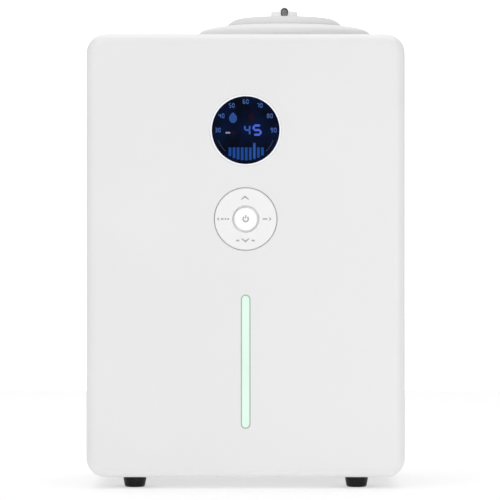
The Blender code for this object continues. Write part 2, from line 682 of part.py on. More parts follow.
def tank_handle():
    inner_x = TANK_HALF_X - TANK_WALL - GAP
    handle = rod("tank_handle", (-inner_x + 1, 50, 318), (1, 0, 0), 2 * inner_x - 2, 5.0, "inner_plastic",
                 sides=20)
    for side in (-1, 1):
        low, high = sorted((side * inner_x, side * (inner_x - 3)))
        join(handle, block(f"handle_pad_{side}", (low, 41, 308), (high, 59, 328), round_axis="x", radius=4))


def feed_valve():
    at = (VALVE_X, VALVE_Y, 0)
    cap = turned("valve_cap", [(19.6, 83.6), (22.5, 83.6), (22.5, 73), (21.5, 72), (2.6, 72), (2.6, 74.5),
                               (19.6, 74.5)],
                 "white_key", at)
    for number in range(6):
        angle = number * math.pi / 3
        cut(cap, rod(f"feed_hole_{number}", (VALVE_X + 6 * math.cos(angle), VALVE_Y + 6 * math.sin(angle), 65),
                     (0, 0, 1), 15, 1.5, sides=8))
    turned("valve_plunger", [(0, 82.4), (8.5, 82.4), (9, 81.9), (9, 80.6), (2.2, 80.6), (2.2, 64.5),
                             (1.6, 64.5), (1.6, 62), (0, 62)],
           "inner_plastic", at, steps=16)
    turned("valve_seal", [(2.5, 80.3), (8.7, 80.3), (8.7, 78.8), (2.5, 78.8)], "grey_rubber", at, steps=16)
    turned("valve_foot", [(1.9, 63.9), (5, 63.9), (5, 61.5), (1.9, 61.5)], "inner_plastic", at, steps=16)
    turns, coil_r = 3, 3.6
    low, high = 64.7, 71.2
    steps = 8 * turns
    coil = []
    for step in range(steps + 1):
        angle = 2 * math.pi * step / 8
        coil.append((VALVE_X + coil_r * math.cos(angle), VALVE_Y + coil_r * math.sin(angle),
                     low + (high - low) * step / steps))
    wire("valve_spring", coil, 0.4, "steel", between=1)


# ---------------------------------------------------------------- lid, cap and nozzle

def top_lid():
    bottom = CASE_TOP - LID_THICK
    at = (MIST_X, MIST_Y, 0)
    lid = block("top_lid", (-LID_HALF_X, LID_FRONT_Y, bottom), (LID_HALF_X, LID_REAR_Y, CASE_TOP),
                "white_case", round_axis="z", radius=12.6, segments=4)
    inner = TANK_HALF_X - TANK_WALL - 0.6
    skirt = block("lid_skirt", (-inner, TANK_FRONT_Y + TANK_WALL + 0.6, 330),
                  (inner, TANK_REAR_Y - TANK_WALL - 0.6, bottom + 0.5), round_axis="z", radius=9)
    cut(skirt, block("skirt_inside", (-inner + 2, TANK_FRONT_Y + TANK_WALL + 2.6, 320),
                     (inner - 2, TANK_REAR_Y - TANK_WALL - 2.6, 360), round_axis="z", radius=7))
    join(lid, skirt)
    cut(lid, rod("ring_bore", (MIST_X, MIST_Y, 330), (0, 0, 1), 30, RING_R - 1.5, sides=32))
    ring = turned("raised_ring", [(46.0, RING_TOP), (52.5, RING_TOP - 0.4), (58.5, RING_TOP - 1.3),
                                  (63.2, RING_TOP - 2.6), (66.2, RING_TOP - 4.3), (RING_R, RING_TOP - 7),
                                  (RING_R, bottom), (RING_R - 2.2, bottom), (RING_R - 2.2, 347.8),
                                  (48.5, 351.4), (48.5, 344.5), (40, 344.5), (40, 347), (46, 347)],
                  None, at, steps=32)
    join(lid, ring)
    seal_x, seal_front, seal_rear = TANK_HALF_X - 0.2, TANK_FRONT_Y + 0.2, TANK_REAR_Y - 0.2
    seal = block("lid_seal", (-seal_x, seal_front, TANK_TOP + GAP), (seal_x, seal_rear, bottom - GAP),
                 "grey_rubber", round_axis="z", radius=11.8, segments=3)
    cut(seal, block("seal_inside", (-seal_x + 2.2, seal_front + 2.2, 320), (seal_x - 2.2, seal_rear - 2.2, 360),
                    round_axis="z", radius=9.6, segments=3))


def mist_cap():
    at = (MIST_X, MIST_Y, 0)
    top = CAP_TOP
    turned("mist_cap", [(8, top), (25, top), (33, top - 0.3), (38.6, top - 1.3), (42.2, top - 3.5),
                        (44.8, top - 6.1), (CAP_R, top - 8.5), (CAP_R, 348.3), (CAP_R - 2.3, 348.3),
                        (CAP_R - 2.3, top - 8.4), (41.8, top - 6.3), (38.5, top - 3.9), (25, top - 2.5),
                        (8, top - 2.5)],
           "white_case", at, steps=32)
    turned("cap_seal", [(41, 348.0), (45, 348.0), (45, 347.3), (41, 347.3)], "grey_rubber", at, steps=20)
    turned("cap_baffle", [(9.2, 357.4), (11, 357.4), (22.3, 352.2), (38, 352.2), (38, 350.6), (22.3, 350.6),
                          (22.3, 338), (20.3, 338), (20.3, 350.8), (9.2, 356.0)],
           "inner_plastic", at)


def nozzle():
    """Low swivelling outlet: spigot, round turret and a hooded mouth that faces the front."""
    axis = (MIST_X, MIST_Y, 0)
    mouth_y = MIST_Y - NOZZLE_R - 0.3
    body = rod("nozzle", (MIST_X, MIST_Y, NOZZLE_BOTTOM), (0, 0, 1), 5.0, NOZZLE_R, "white_key", sides=32,
               top_radius=NOZZLE_R - 0.4, at=axis)
    hood = pill("hood", (MIST_X, MOUTH_Z), 7.3, 8.8, 13.0, None, mouth_y)
    cut(hood, block("hood_trim", (0, -30, 340), (60, 60, NOZZLE_BOTTOM)))
    join(body, hood, rod("spigot", (MIST_X, MIST_Y, 357.8), (0, 0, 1), 5.0, 7.6, sides=24))
    cut(body, rod("mist_bore", (MIST_X, MIST_Y, 350), (0, 0, 1), 15.0, 5.6, sides=20),
        pill("mouth_pocket", (MIST_X, MOUTH_Z), 5.7, 7.0, 10.0, None, mouth_y - 2.0))
    liner = pill("nozzle_liner", (MIST_X, MOUTH_Z), 5.2, 6.5, 6.0, "black_rubber", mouth_y + 0.1,
                 at=axis)
    cut(liner, pill("mouth_bore", (MIST_X, MOUTH_Z), 4.4, 5.7, 16.0, None, mouth_y - 3.0))


# ---------------------------------------------------------------- inner leads

def leads():
    wire("display_cable", [(-18, -70.3, 185), (-18, -68.9, 184.6), (-18, -68.2, 180), (-18, -69.2, 160),
                           (-18, -69.8, 110),
                           (-17, -69.8, 60), (-12, -64, 36), (-6, -48, 24), (-2, -32, 20.9),
                           (-2, -25.5, 20.8)], 1.2)
    wire("power_lead", [(INLET_X, 69.6, INLET_Z), (INLET_X, 62, 31), (-72, 48, 26), (-52, 30, 22),
                        (-36, 16, 20.9), (-25.7, 10, 20.8)], 1.2)
    wire("fan_lead", [(FAN_X, 60, FAN_Z), (FAN_X, 54, 51.5), (84, 48, 44), (74, 40, 32), (60, 32, 23),
                      (50, 28, 20.9), (45.6, 26, 20.8)], 0.9)
    wire("transducer_lead", [(MIST_X, MIST_Y, 34.8), (MIST_X + 0.5, MIST_Y, 31), (32, 10, 27),
                             (36, 13, 24.5), (37, 14, 22.9)], 0.9)


front_cover()
rear_housing()
base_plate()
feet_and_screws()
display()
control_board()
control_pad()
level_window()
water_basin()
mist_maker()
low_water_float()
driver_electronics()
power_inlet()
blower()
intake()
water_tank()
tank_handle()
feed_valve()
top_lid()
mist_cap()
nozzle()
leads()
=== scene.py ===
"""Looks of the cool mist humidifier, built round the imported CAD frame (metres, +Z up).

Shapes are drawn in millimetres, with heights above a datum just under the floor; each
object is then set down by that datum.
"""

import math

import bmesh
import bpy
from mathutils import Matrix, Vector


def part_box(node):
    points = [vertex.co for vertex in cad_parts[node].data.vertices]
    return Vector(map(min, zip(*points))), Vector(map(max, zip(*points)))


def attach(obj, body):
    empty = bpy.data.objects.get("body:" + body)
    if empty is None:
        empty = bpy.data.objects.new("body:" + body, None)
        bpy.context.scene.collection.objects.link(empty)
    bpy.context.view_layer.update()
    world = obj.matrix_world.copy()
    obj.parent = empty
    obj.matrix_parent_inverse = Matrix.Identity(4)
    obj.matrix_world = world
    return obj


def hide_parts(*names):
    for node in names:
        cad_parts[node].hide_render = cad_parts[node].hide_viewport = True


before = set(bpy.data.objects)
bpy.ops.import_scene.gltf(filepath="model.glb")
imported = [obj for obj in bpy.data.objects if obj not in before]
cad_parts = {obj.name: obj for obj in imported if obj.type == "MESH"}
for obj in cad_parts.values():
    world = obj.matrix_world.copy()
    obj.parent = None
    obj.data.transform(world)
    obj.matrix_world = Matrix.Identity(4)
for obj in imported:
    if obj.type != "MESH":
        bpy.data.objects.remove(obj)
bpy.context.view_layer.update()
TOOLS = []                      # shapes used to cut and join, removed once they are used

MM = 0.001
DATUM = 1.4                     # height of the floor above the drawings' datum, in millimetres
CORNER_R = 14.5                 # corners of the case's front outline, in millimetres
EDGE_R = 8.0                    # edges round the front and rear faces
WALL = 2.5
TOUCH = 0.1                     # overlap that joins pieces of one body
BOSS_X = 97.0                   # base screws, either side of the middle
BOSS_ROWS = (-45.0, 68.0)
FOOT_X = 84.0
FOOT_ROWS = (-63.0, 63.0)
WINDOW_R = 25.2                 # glass of the display
WINDOW_HOLE_R = 25.6
BEZEL_R = 26.8                  # pale rim round the glass
PAD_HOLE_R = 24.0
RING_R = 23.42                  # rocking ring of the pad
KEY_HOLE_R = 10.2               # hole in the ring for the centre button
KEY_PITCH = 17.0                # pad's centre to each pusher
MARK_DEPTH = 0.08               # thickness of printed and lit marks
NEAR_FACE = 0.05                # how close counts as lying on a face


def millimetres(node):
    """Lowest and highest corner of a CAD node, in millimetres above the datum."""
    low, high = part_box(node)
    rise = Vector((0, 0, DATUM))
    return low / MM + rise, high / MM + rise


def middle(node):
    """Middle of a CAD node's box, in millimetres above the datum."""
    low, high = millimetres(node)
    return (low + high) / 2


COVER_LOW, COVER_HIGH = millimetres("front_cover")
HOUSING_LOW, HOUSING_HIGH = millimetres("rear_housing")
FRONT_Y = COVER_LOW.y
REAR_Y = HOUSING_HIGH.y
HALF_X = HOUSING_HIGH.x
CASE_BOTTOM = HOUSING_LOW.z
CASE_TOP = HOUSING_HIGH.z
SEAM_Y = HOUSING_LOW.y - 0.3
DISPLAY = middle("display_lens")
PAD = middle("power_button")
LEVEL = middle("level_lens")
MIST = middle("mist_tube")


# ---------------------------------------------------------------- camera, floor and light

CAMERA_DISTANCE = 2.4           # from the front face, in metres
CAMERA_X = 0.00325
CAMERA_HEIGHT = 0.1793
FOCAL_LENGTH = 230.0
SENSOR_WIDTH = 36.0
FAR_CLIP = 60.0


def camera():
    """Level and square to the front, far enough back to keep the sides hidden."""
    data = bpy.data.cameras.new("camera")
    data.sensor_width = SENSOR_WIDTH
    data.lens = FOCAL_LENGTH
    data.clip_end = FAR_CLIP
    eye = bpy.data.objects.new("camera", data)
    eye.location = (CAMERA_X, FRONT_Y * MM - CAMERA_DISTANCE, CAMERA_HEIGHT)
    eye.rotation_euler = (math.radians(90), 0, 0)
    bpy.context.scene.collection.objects.link(eye)
    bpy.context.scene.camera = eye


def area_light(name, location, target, size, power):
    """White rectangle of light that isn't seen itself; metres and watts."""
    data = bpy.data.lights.new(name, 'AREA')
    data.shape = 'RECTANGLE'
    data.size, data.size_y = size
    data.energy = power
    lamp = bpy.data.objects.new(name, data)
    lamp.location = location
    aim = Vector(target) - Vector(location)
    lamp.rotation_euler = aim.to_track_quat('-Z', 'Y').to_euler()
    lamp.visible_camera = False
    bpy.context.scene.collection.objects.link(lamp)


def studio():
    """Even white surround, three lights, and paper sheets that run out to white behind."""
    scene = bpy.context.scene
    scene.view_settings.view_transform = 'Standard'
    world = bpy.data.worlds.new("studio")
    scene.world = world
    world.use_nodes = True
    background = world.node_tree.nodes["Background"]
    background.inputs["Color"].default_value = (1.0, 1.0, 1.0, 1.0)
    background.inputs["Strength"].default_value = 0.51
    area_light("key", (-0.9, -1.7, 1.15), (-0.05, 0, 0.25), (1.0, 1.0), 5.5)
    area_light("fill", (0.45, -1.1, 0.05), (0.05, 0, 0.0), (0.7, 0.4), 2.5)
    area_light("top", (0.0, 0.3, 2.4), (0, 0.3, 0), (3.0, 3.0), 34)
    stage_surface("floor", (12, 12), (0, 0, 0), (0, 0, 0), 0.64, 0.37)
    stage_surface("far_floor", (5, 4.4), (0, 3.8, 0.001), (0, 0, 0), 0.88, 0.62)
    stage_surface("backdrop", (5, 3.4), (0, 6.0, 1.65), (math.radians(90), 0, 0), 0.88, 0.66)


def stage_surface(name, size, location, turn, tone, glow):
    """Plain pale sheet with a faint even glow, as seamless paper lit from behind."""
    shape = bmesh.new()
    bmesh.ops.create_grid(shape, x_segments=8, y_segments=8, size=0.5)
    bmesh.ops.scale(shape, vec=(size[0], size[1], 1), verts=shape.verts)
    mesh = bpy.data.meshes.new(name)
    shape.to_mesh(mesh)
    shape.free()
    sheet = bpy.data.objects.new(name, mesh)
    sheet.location = location
    sheet.rotation_euler = turn
    bpy.context.scene.collection.objects.link(sheet)
    paper = surface("stage_paper_" + name, (grey(tone), grey(tone + 0.02)), 3.0, (0.7, 0.8),
                    emission=((1.0, 1.0, 1.0), glow))
    mesh.materials.append(paper)


# ---------------------------------------------------------------- materials

COAT_ROUGHNESS = 0.06
SCATTER_DEPTH = 0.004           # how far light spreads inside plastic, in metres
RAMP_ENDS = (0.3, 0.7)          # part of the pattern that carries the colour change
GRAIN_DETAIL = 3.0


def surface(name, colours, scale, roughness, grain=None, stretch=(1, 1, 1), pattern="noise", metallic=0.0,
            coat=0.0, transmission=0.0, ior=1.46, emission=None, detail=4.0, subsurface=0.0, specular=0.5):
    """Procedural material: two close colours and a roughness range, mixed by a pattern, and a fine bump.

    scale is the pattern's frequency in cycles per metre; grain is (frequency, strength, depth in metres).
    """
    made = bpy.data.materials.get(name)
    if made:
        return made
    made = bpy.data.materials.new(name)
    made.use_nodes = True
    tree = made.node_tree
    shader = tree.nodes["Principled BSDF"]
    shader.inputs["Metallic"].default_value = metallic
    shader.inputs["Coat Weight"].default_value = coat
    shader.inputs["Coat Roughness"].default_value = COAT_ROUGHNESS
    shader.inputs["Transmission Weight"].default_value = transmission
    shader.inputs["IOR"].default_value = ior
    shader.inputs["Subsurface Weight"].default_value = subsurface
    shader.inputs["Subsurface Radius"].default_value = (SCATTER_DEPTH,) * 3
    shader.inputs["Specular IOR Level"].default_value = specular
    place = tree.nodes.new("ShaderNodeTexCoord")
    mapping = tree.nodes.new("ShaderNodeMapping")
    mapping.inputs["Scale"].default_value = stretch
    tree.links.new(place.outputs["Object"], mapping.inputs["Vector"])
    value = pattern_output(tree, mapping.outputs["Vector"], pattern, scale, detail)
    ramp = tree.nodes.new("ShaderNodeValToRGB")
    for stop, position, colour in zip(ramp.color_ramp.elements, RAMP_ENDS, colours):
        stop.position = position
        stop.color = (*colour, 1.0)
    tree.links.new(value, ramp.inputs["Fac"])
    tree.links.new(ramp.outputs["Color"], shader.inputs["Base Color"])
    spread = tree.nodes.new("ShaderNodeMapRange")
    spread.inputs["To Min"].default_value = roughness[0]
    spread.inputs["To Max"].default_value = roughness[1]
    tree.links.new(value, spread.inputs["Value"])
    tree.links.new(spread.outputs["Result"], shader.inputs["Roughness"])
    if emission:
        shader.inputs["Emission Color"].default_value = (*emission[0], 1.0)
        shader.inputs["Emission Strength"].default_value = emission[1]
    if grain:
        frequency, strength, depth = grain
        bump_noise = tree.nodes.new("ShaderNodeTexNoise")
        bump_noise.inputs["Scale"].default_value = frequency
        bump_noise.inputs["Detail"].default_value = GRAIN_DETAIL
        tree.links.new(mapping.outputs["Vector"], bump_noise.inputs["Vector"])
        bump = tree.nodes.new("ShaderNodeBump")
        bump.inputs["Strength"].default_value = strength
        bump.inputs["Distance"].default_value = depth
        tree.links.new(bump_noise.outputs["Fac"], bump.inputs["Height"])
        tree.links.new(bump.outputs["Normal"], shader.inputs["Normal"])
    return made


TRACK_TONES = {"Color1": 0.15, "Color2": 0.55, "Mortar": 1.0}
TRACK_GAP = 0.06


def pattern_output(tree, vector, pattern, scale, detail):
    """Output socket of the pattern that mixes a surface's two colours."""
    if pattern == "cells":
        cells = tree.nodes.new("ShaderNodeTexVoronoi")
        cells.inputs["Scale"].default_value = scale
        tree.links.new(vector, cells.inputs["Vector"])
        return cells.outputs["Distance"]
    if pattern == "tracks":
        bricks = tree.nodes.new("ShaderNodeTexBrick")
        bricks.inputs["Scale"].default_value = scale
        bricks.inputs["Mortar Size"].default_value = TRACK_GAP
        for socket, tone in TRACK_TONES.items():
            bricks.inputs[socket].default_value = (tone, tone, tone, 1.0)
        turn = tree.nodes.new("ShaderNodeMapping")
        turn.inputs["Rotation"].default_value = (math.radians(90), 0, 0)
        tree.links.new(vector, turn.inputs["Vector"])
        tree.links.new(turn.outputs["Vector"], bricks.inputs["Vector"])
        return bricks.outputs["Color"]
    noise = tree.nodes.new("ShaderNodeTexNoise")
    noise.inputs["Scale"].default_value = scale
    noise.inputs["Detail"].default_value = detail
    tree.links.new(vector, noise.inputs["Vector"])
    return noise.outputs["Fac"]


def grey(level):
    return (level, level, level)


def case_white():
    return surface("case_white", (grey(0.825), grey(0.845)), 9.0, (0.36, 0.44),
                   grain=(1400.0, 0.05, 0.00025), subsurface=0.03)


# Darker copy of the case's white for the mist cap; the lower tone is painted shade, holding down the overhead
# light on the dome.
def cap_white_painted_shade():
    return surface("cap_white_painted_shade", (grey(0.71), grey(0.73)), 9.0, (0.58, 0.66),
                   grain=(1400.0, 0.05, 0.00025), subsurface=0.03, specular=0.12)


def lid_white():
    return surface("lid_white", (grey(0.81), grey(0.83)), 9.0, (0.58, 0.66),
                   grain=(1400.0, 0.05, 0.00025), subsurface=0.03, specular=0.12)


def key_white():
    return surface("key_white", (grey(0.885), grey(0.905)), 14.0, (0.30, 0.38),
                   grain=(1800.0, 0.03, 0.0002))


# White of the centre button; its faint emission is painted light, as the button is no lamp.
def button_white_painted_glow():
    return surface("button_white_painted_glow", (grey(0.955), grey(0.97)), 14.0, (0.22, 0.30),
                   grain=(1800.0, 0.02, 0.0002), coat=0.2, emission=((1.0, 1.0, 1.0), 0.05))


# White of the outlet turret; its faint emission is painted light, as the turret is no lamp.
def nozzle_white_painted_glow():
    return surface("nozzle_white_painted_glow", (grey(0.94), grey(0.96)), 14.0, (0.25, 0.33),
                   grain=(1800.0, 0.02, 0.0002), emission=((1.0, 1.0, 1.0), 0.06))


def print_grey():
    return surface("print_grey", (grey(0.40), grey(0.46)), 60.0, (0.5, 0.6))


# Grey of the ring in the gap round the pad's rocking ring; the grey is painted shade of the gap.
def pad_gap_painted_shade():
    return surface("pad_gap_painted_shade", (grey(0.64), grey(0.70)), 60.0, (0.5, 0.6))


# Pale green of the ring round the level light pipe; the tone is painted shade of the gap.
def level_gap_painted_shade():
    return surface("level_gap_painted_shade", ((0.27, 0.38, 0.32), (0.31, 0.43, 0.36)), 60.0, (0.4, 0.5))


# Pale white of the display bezel; its faint bluish emission is painted light, as the bezel is no lamp.
def bezel_white_painted_glow():
    return surface("bezel_white_painted_glow", ((0.90, 0.90, 0.94), (0.93, 0.93, 0.96)), 60.0, (0.2, 0.28),
                   emission=((0.80, 0.84, 1.0), 0.09))


def inner_grey():
    return surface("inner_grey", (grey(0.60), grey(0.64)), 20.0, (0.42, 0.52), grain=(900.0, 0.08, 0.0003))


def tank_clear():
    return surface("tank_clear", ((0.80, 0.88, 0.91), (0.84, 0.91, 0.93)), 12.0, (0.06, 0.14),
                   transmission=0.9, ior=1.35)


def rubber_black():
    return surface("rubber_black", (grey(0.004), grey(0.008)), 70.0, (0.34, 0.46), ior=1.3,
                   grain=(1200.0, 0.2, 0.0003))


def rubber_grey():
    return surface("rubber_grey", (grey(0.30), grey(0.36)), 70.0, (0.55, 0.68), grain=(1200.0, 0.15, 0.0003))


def moulding_black():
    return surface("moulding_black", (grey(0.022), grey(0.036)), 40.0, (0.38, 0.5),
                   grain=(1000.0, 0.12, 0.0003))


def board_green():
    return surface("board_green", ((0.008, 0.10, 0.04), (0.03, 0.24, 0.10)), 60.0, (0.28, 0.42),
                   pattern="tracks", coat=0.3)


def steel():
    return surface("steel", (grey(0.52), grey(0.64)), 60.0, (0.22, 0.36), grain=(700.0, 0.1, 0.0002),
                   stretch=(1, 1, 14), metallic=1.0)


def aluminium():
    return surface("aluminium", (grey(0.72), grey(0.80)), 50.0, (0.28, 0.42), grain=(600.0, 0.12, 0.0002),
                   stretch=(12, 1, 1), metallic=1.0)


def foam():
    return surface("foam", (grey(0.030), grey(0.11)), 420.0, (0.85, 0.95), pattern="cells",
                   grain=(500.0, 0.9, 0.001))


def wire_black():
    return surface("wire_black", (grey(0.03), grey(0.05)), 90.0, (0.42, 0.55), grain=(800.0, 0.1, 0.0002))


def display_glass():
    """Blue-black window, whose ground varies from near black to deep blue."""
    return surface("display_glass", ((0.0003, 0.0005, 0.002), (0.0008, 0.0055, 0.031)), 75.0, (0.05, 0.08),
                   ior=1.15, detail=2.0, emission=((0.08, 0.30, 1.0), 0.003))


def lit(name, colour):
    """Lit display segment under gloss; colour is what it glows."""
    dark = tuple(0.15 * part for part in colour)
    pale = tuple(0.2 * part for part in colour)
    return surface(name, (dark, pale), 200.0, (0.10, 0.14), ior=1.15, emission=(colour, 1.0))


def window_glow():
    return surface("window_glow", ((0.46, 0.55, 0.50), (0.50, 0.60, 0.54)), 25.0, (0.25, 0.32),
                   emission=((0.74, 1.0, 0.82), 0.40))


# ---------------------------------------------------------------- mesh helpers

def add(name, mesh, finish=None):
    """Link a mesh, set down to the floor; without a finish it is a tool shape."""
    item = bpy.data.objects.new(name, mesh)
    item.location.z = -DATUM * MM
    bpy.context.scene.collection.objects.link(item)
    if finish:
        mesh.materials.clear()
        mesh.materials.append(finish)
    else:
        TOOLS.append(item)
    return item


def from_bmesh(name, shape, finish=None):
    mesh = bpy.data.meshes.new(name)
    shape.to_mesh(mesh)
    shape.free()
    return add(name, mesh, finish)


def block(name, low, high, finish=None, round_axis=None, radius=0.0, segments=8):
    """Box from low to high in millimetres; edges along round_axis are rounded."""
    low, high = Vector(low), Vector(high)
    size = high - low
    shape = bmesh.new()
    bmesh.ops.create_cube(shape, size=1.0)
    bmesh.ops.scale(shape, vec=size * MM, verts=shape.verts)
    bmesh.ops.translate(shape, vec=(low + high) / 2 * MM, verts=shape.verts)
    if round_axis:
        axis = "xyz".index(round_axis)
        along = [edge for edge in shape.edges
                 if abs((edge.verts[0].co - edge.verts[1].co)[axis]) > 0.5 * size[axis] * MM]
        bmesh.ops.bevel(shape, geom=along, offset=radius * MM, segments=segments, profile=0.5,
                        affect='EDGES')
    return from_bmesh(name, shape, finish)


def rod(name, start, axis, length, radius, finish=None, sides=64):
    """Cylinder from start along axis, in millimetres."""
    shape = bmesh.new()
    bmesh.ops.create_cone(shape, cap_ends=True, segments=sides, radius1=radius * MM,
                          radius2=radius * MM, depth=length * MM)
    bmesh.ops.translate(shape, vec=(0, 0, length / 2 * MM), verts=shape.verts)
    turn = Vector((0, 0, 1)).rotation_difference(Vector(axis)).to_matrix().to_4x4()
    bmesh.ops.transform(shape, matrix=Matrix.Translation(Vector(start) * MM) @ turn, verts=shape.verts)
    return from_bmesh(name, shape, finish)


FILLET_STEPS = 6
FILLET_REACH = 0.48             # most of a side that one fillet may take


def rounded(points):
    """Profile with its corners rounded: each point is (radius, height, fillet)."""
    outline = []
    count = len(points)
    for index, (r, h, fillet) in enumerate(points):
        here = Vector((r, h))
        before = Vector(points[index - 1][:2])
        after = Vector(points[(index + 1) % count][:2])
        into, out = (here - before), (after - here)
        if not fillet or into.length < 1e-6 or out.length < 1e-6:
            outline.append((r, h))
            continue
        reach = min(fillet, into.length * FILLET_REACH, out.length * FILLET_REACH)
        start = here - into.normalized() * reach
        end = here + out.normalized() * reach
        for step in range(FILLET_STEPS + 1):
            t = step / FILLET_STEPS
            spot = start * (1 - t) ** 2 + here * 2 * t * (1 - t) + end * t * t
            outline.append((spot.x, spot.y))
    return outline


def turned(name, profile, at, finish=None, axis=(0, 0, 1), steps=96):
    """Lathe a profile of (radius, height) in millimetres; ends on the axis or a closed loop."""
    shape = bmesh.new()
    touches_axis = profile[0][0] < 1e-6 and profile[-1][0] < 1e-6
    rings = []
    for radius, height in profile:
        if radius < 1e-6:
            rings.append([shape.verts.new((0, 0, height * MM))] * steps)
            continue
        ring = []
        for step in range(steps):
            angle = 2 * math.pi * step / steps
            ring.append(shape.verts.new((radius * MM * math.cos(angle), radius * MM * math.sin(angle),
                                         height * MM)))
        rings.append(ring)
    pairs = list(zip(rings, rings[1:]))
    if not touches_axis:
        pairs.append((rings[-1], rings[0]))
    for upper, lower in pairs:
        for step in range(steps):
            after = (step + 1) % steps
            corners = [upper[step], upper[after], lower[after], lower[step]]
            unique = list(dict.fromkeys(corners))
            if len(unique) > 2:
                shape.faces.new(unique)
    bmesh.ops.recalc_face_normals(shape, faces=shape.faces)
    turn = Vector((0, 0, 1)).rotation_difference(Vector(axis)).to_matrix().to_4x4()
    bmesh.ops.transform(shape, matrix=Matrix.Translation(Vector(at) * MM) @ turn, verts=shape.verts)
    return from_bmesh(name, shape, finish)


def pill_outline(width, length, steps=16):
    """Upright slot outline about its centre: round ends and straight sides."""
    radius, reach = width / 2, length / 2 - width / 2
    outline = []
    for end in (1, -1):
        for step in range(steps + 1):
            angle = math.pi * step / steps
            outline.append((end * radius * math.cos(angle), end * (reach + radius * math.sin(angle))))
    return outline


def face_plate(name, outlines, front, depth, finish=None, centre=(0, 0)):
    """Flat shapes in the XZ plane, from y = front to front + depth. Each outline is a list of (x, z)."""
    shape = bmesh.new()
    for outline in outlines:
        near, far = [[shape.verts.new(((x + centre[0]) * MM, y, (z + centre[1]) * MM)) for x, z in outline]
                     for y in (front * MM, front * MM + depth * MM)]
        shape.faces.new(near)
        shape.faces.new(far)
        for index in range(len(near)):
            after = (index + 1) % len(near)
            shape.faces.new((near[index], near[after], far[after], far[index]))
    bmesh.ops.recalc_face_normals(shape, faces=shape.faces)
    return from_bmesh(name, shape, finish)


WELD = 0.000002                 # metres under which two corners count as one


def carve(item, cuts=(), joins=()):
    """Join and then cut with tool shapes, keep the result as plain mesh, and remove the tools."""
    for tool in joins:
        boolean(item, tool, 'UNION')
    for tool in cuts:
        boolean(item, tool, 'DIFFERENCE')
    settle(item)
    for tool in list(cuts) + list(joins):
        TOOLS.remove(tool)
        mesh = tool.data
        bpy.data.objects.remove(tool, do_unlink=True)
        bpy.data.meshes.remove(mesh)
    return item


def boolean(item, tool, operation):
    """Exact boolean modifier, applied later by settle."""
    change = item.modifiers.new(operation.lower(), 'BOOLEAN')
    change.operation = operation
    change.solver = 'EXACT'
    change.object = tool


def settle(item):
    """Replace an object's mesh by its evaluated mesh, without its modifiers."""
    bpy.context.view_layer.update()
    graph = bpy.context.evaluated_depsgraph_get()
    old = item.data
    fresh = bpy.data.meshes.new_from_object(item.evaluated_get(graph))
    finish = old.materials[0] if old.materials else None
    item.modifiers.clear()
    item.data = fresh
    fresh.materials.clear()
    if finish:
        fresh.materials.append(finish)
    for polygon in fresh.polygons:
        polygon.material_index = 0
    fresh.name = item.name
    bpy.data.meshes.remove(old)


SHARP = math.radians(50)        # edges turned by more than this get rounded


def soften(item, wanted, width, segments=3):
    """Round the sharp edges whose two ends both pass the test, by width in millimetres."""
    shape = bmesh.new()
    shape.from_mesh(item.data)
    bmesh.ops.remove_doubles(shape, verts=shape.verts, dist=WELD)
    bmesh.ops.dissolve_degenerate(shape, edges=shape.edges, dist=WELD)
    sharp = []
    for edge in shape.edges:
        if len(edge.link_faces) != 2 or edge.calc_face_angle(0.0) < SHARP:
            continue
        if all(wanted(corner.co / MM) for corner in edge.verts):
            sharp.append(edge)
    bmesh.ops.bevel(shape, geom=sharp, offset=width * MM, segments=segments, profile=0.5,
                    affect='EDGES', clamp_overlap=True)
    shape.to_mesh(item.data)
    shape.free()
    return item


def polish(item, angle=35):
    """Smooth shading with crisp edges, and normals that keep the flat faces flat."""
    item.data.shade_smooth()
    item.data.set_sharp_from_angle(angle=math.radians(angle))
    weigh = item.modifiers.new("weigh", 'WEIGHTED_NORMAL')
    weigh.keep_sharp = True
    weigh.weight = 80
    return item


def fit(item, body, slot, *nodes):
    """The piece rides on a body and may stand for CAD nodes; the slot argument is not used."""
    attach(item, body)
    if nodes:
        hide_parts(*nodes)
    return item


# ---------------------------------------------------------------- case

CORNER_STEPS = 12
EDGE_STEPS = 8


def case_form(name, inset, finish=None):
    """The case's outer shape, drawn in by inset on every side."""
    half_x, half_y = HALF_X - inset, REAR_Y - inset
    item = block(name, (-half_x, -half_y, CASE_BOTTOM + inset), (half_x, half_y, CASE_TOP - inset), finish,
                 round_axis="y", radius=CORNER_R - inset, segments=CORNER_STEPS)
    edge = item.modifiers.new("edge", 'BEVEL')
    edge.width = (EDGE_R - inset) * MM
    edge.segments = EDGE_STEPS
    edge.limit_method = 'ANGLE'
    edge.angle_limit = math.radians(60)
    return item


def slab(name, front, rear):
    """Cutter that takes everything from y = front to rear."""
    return block(name, (-200, front, -50), (200, rear, 450))


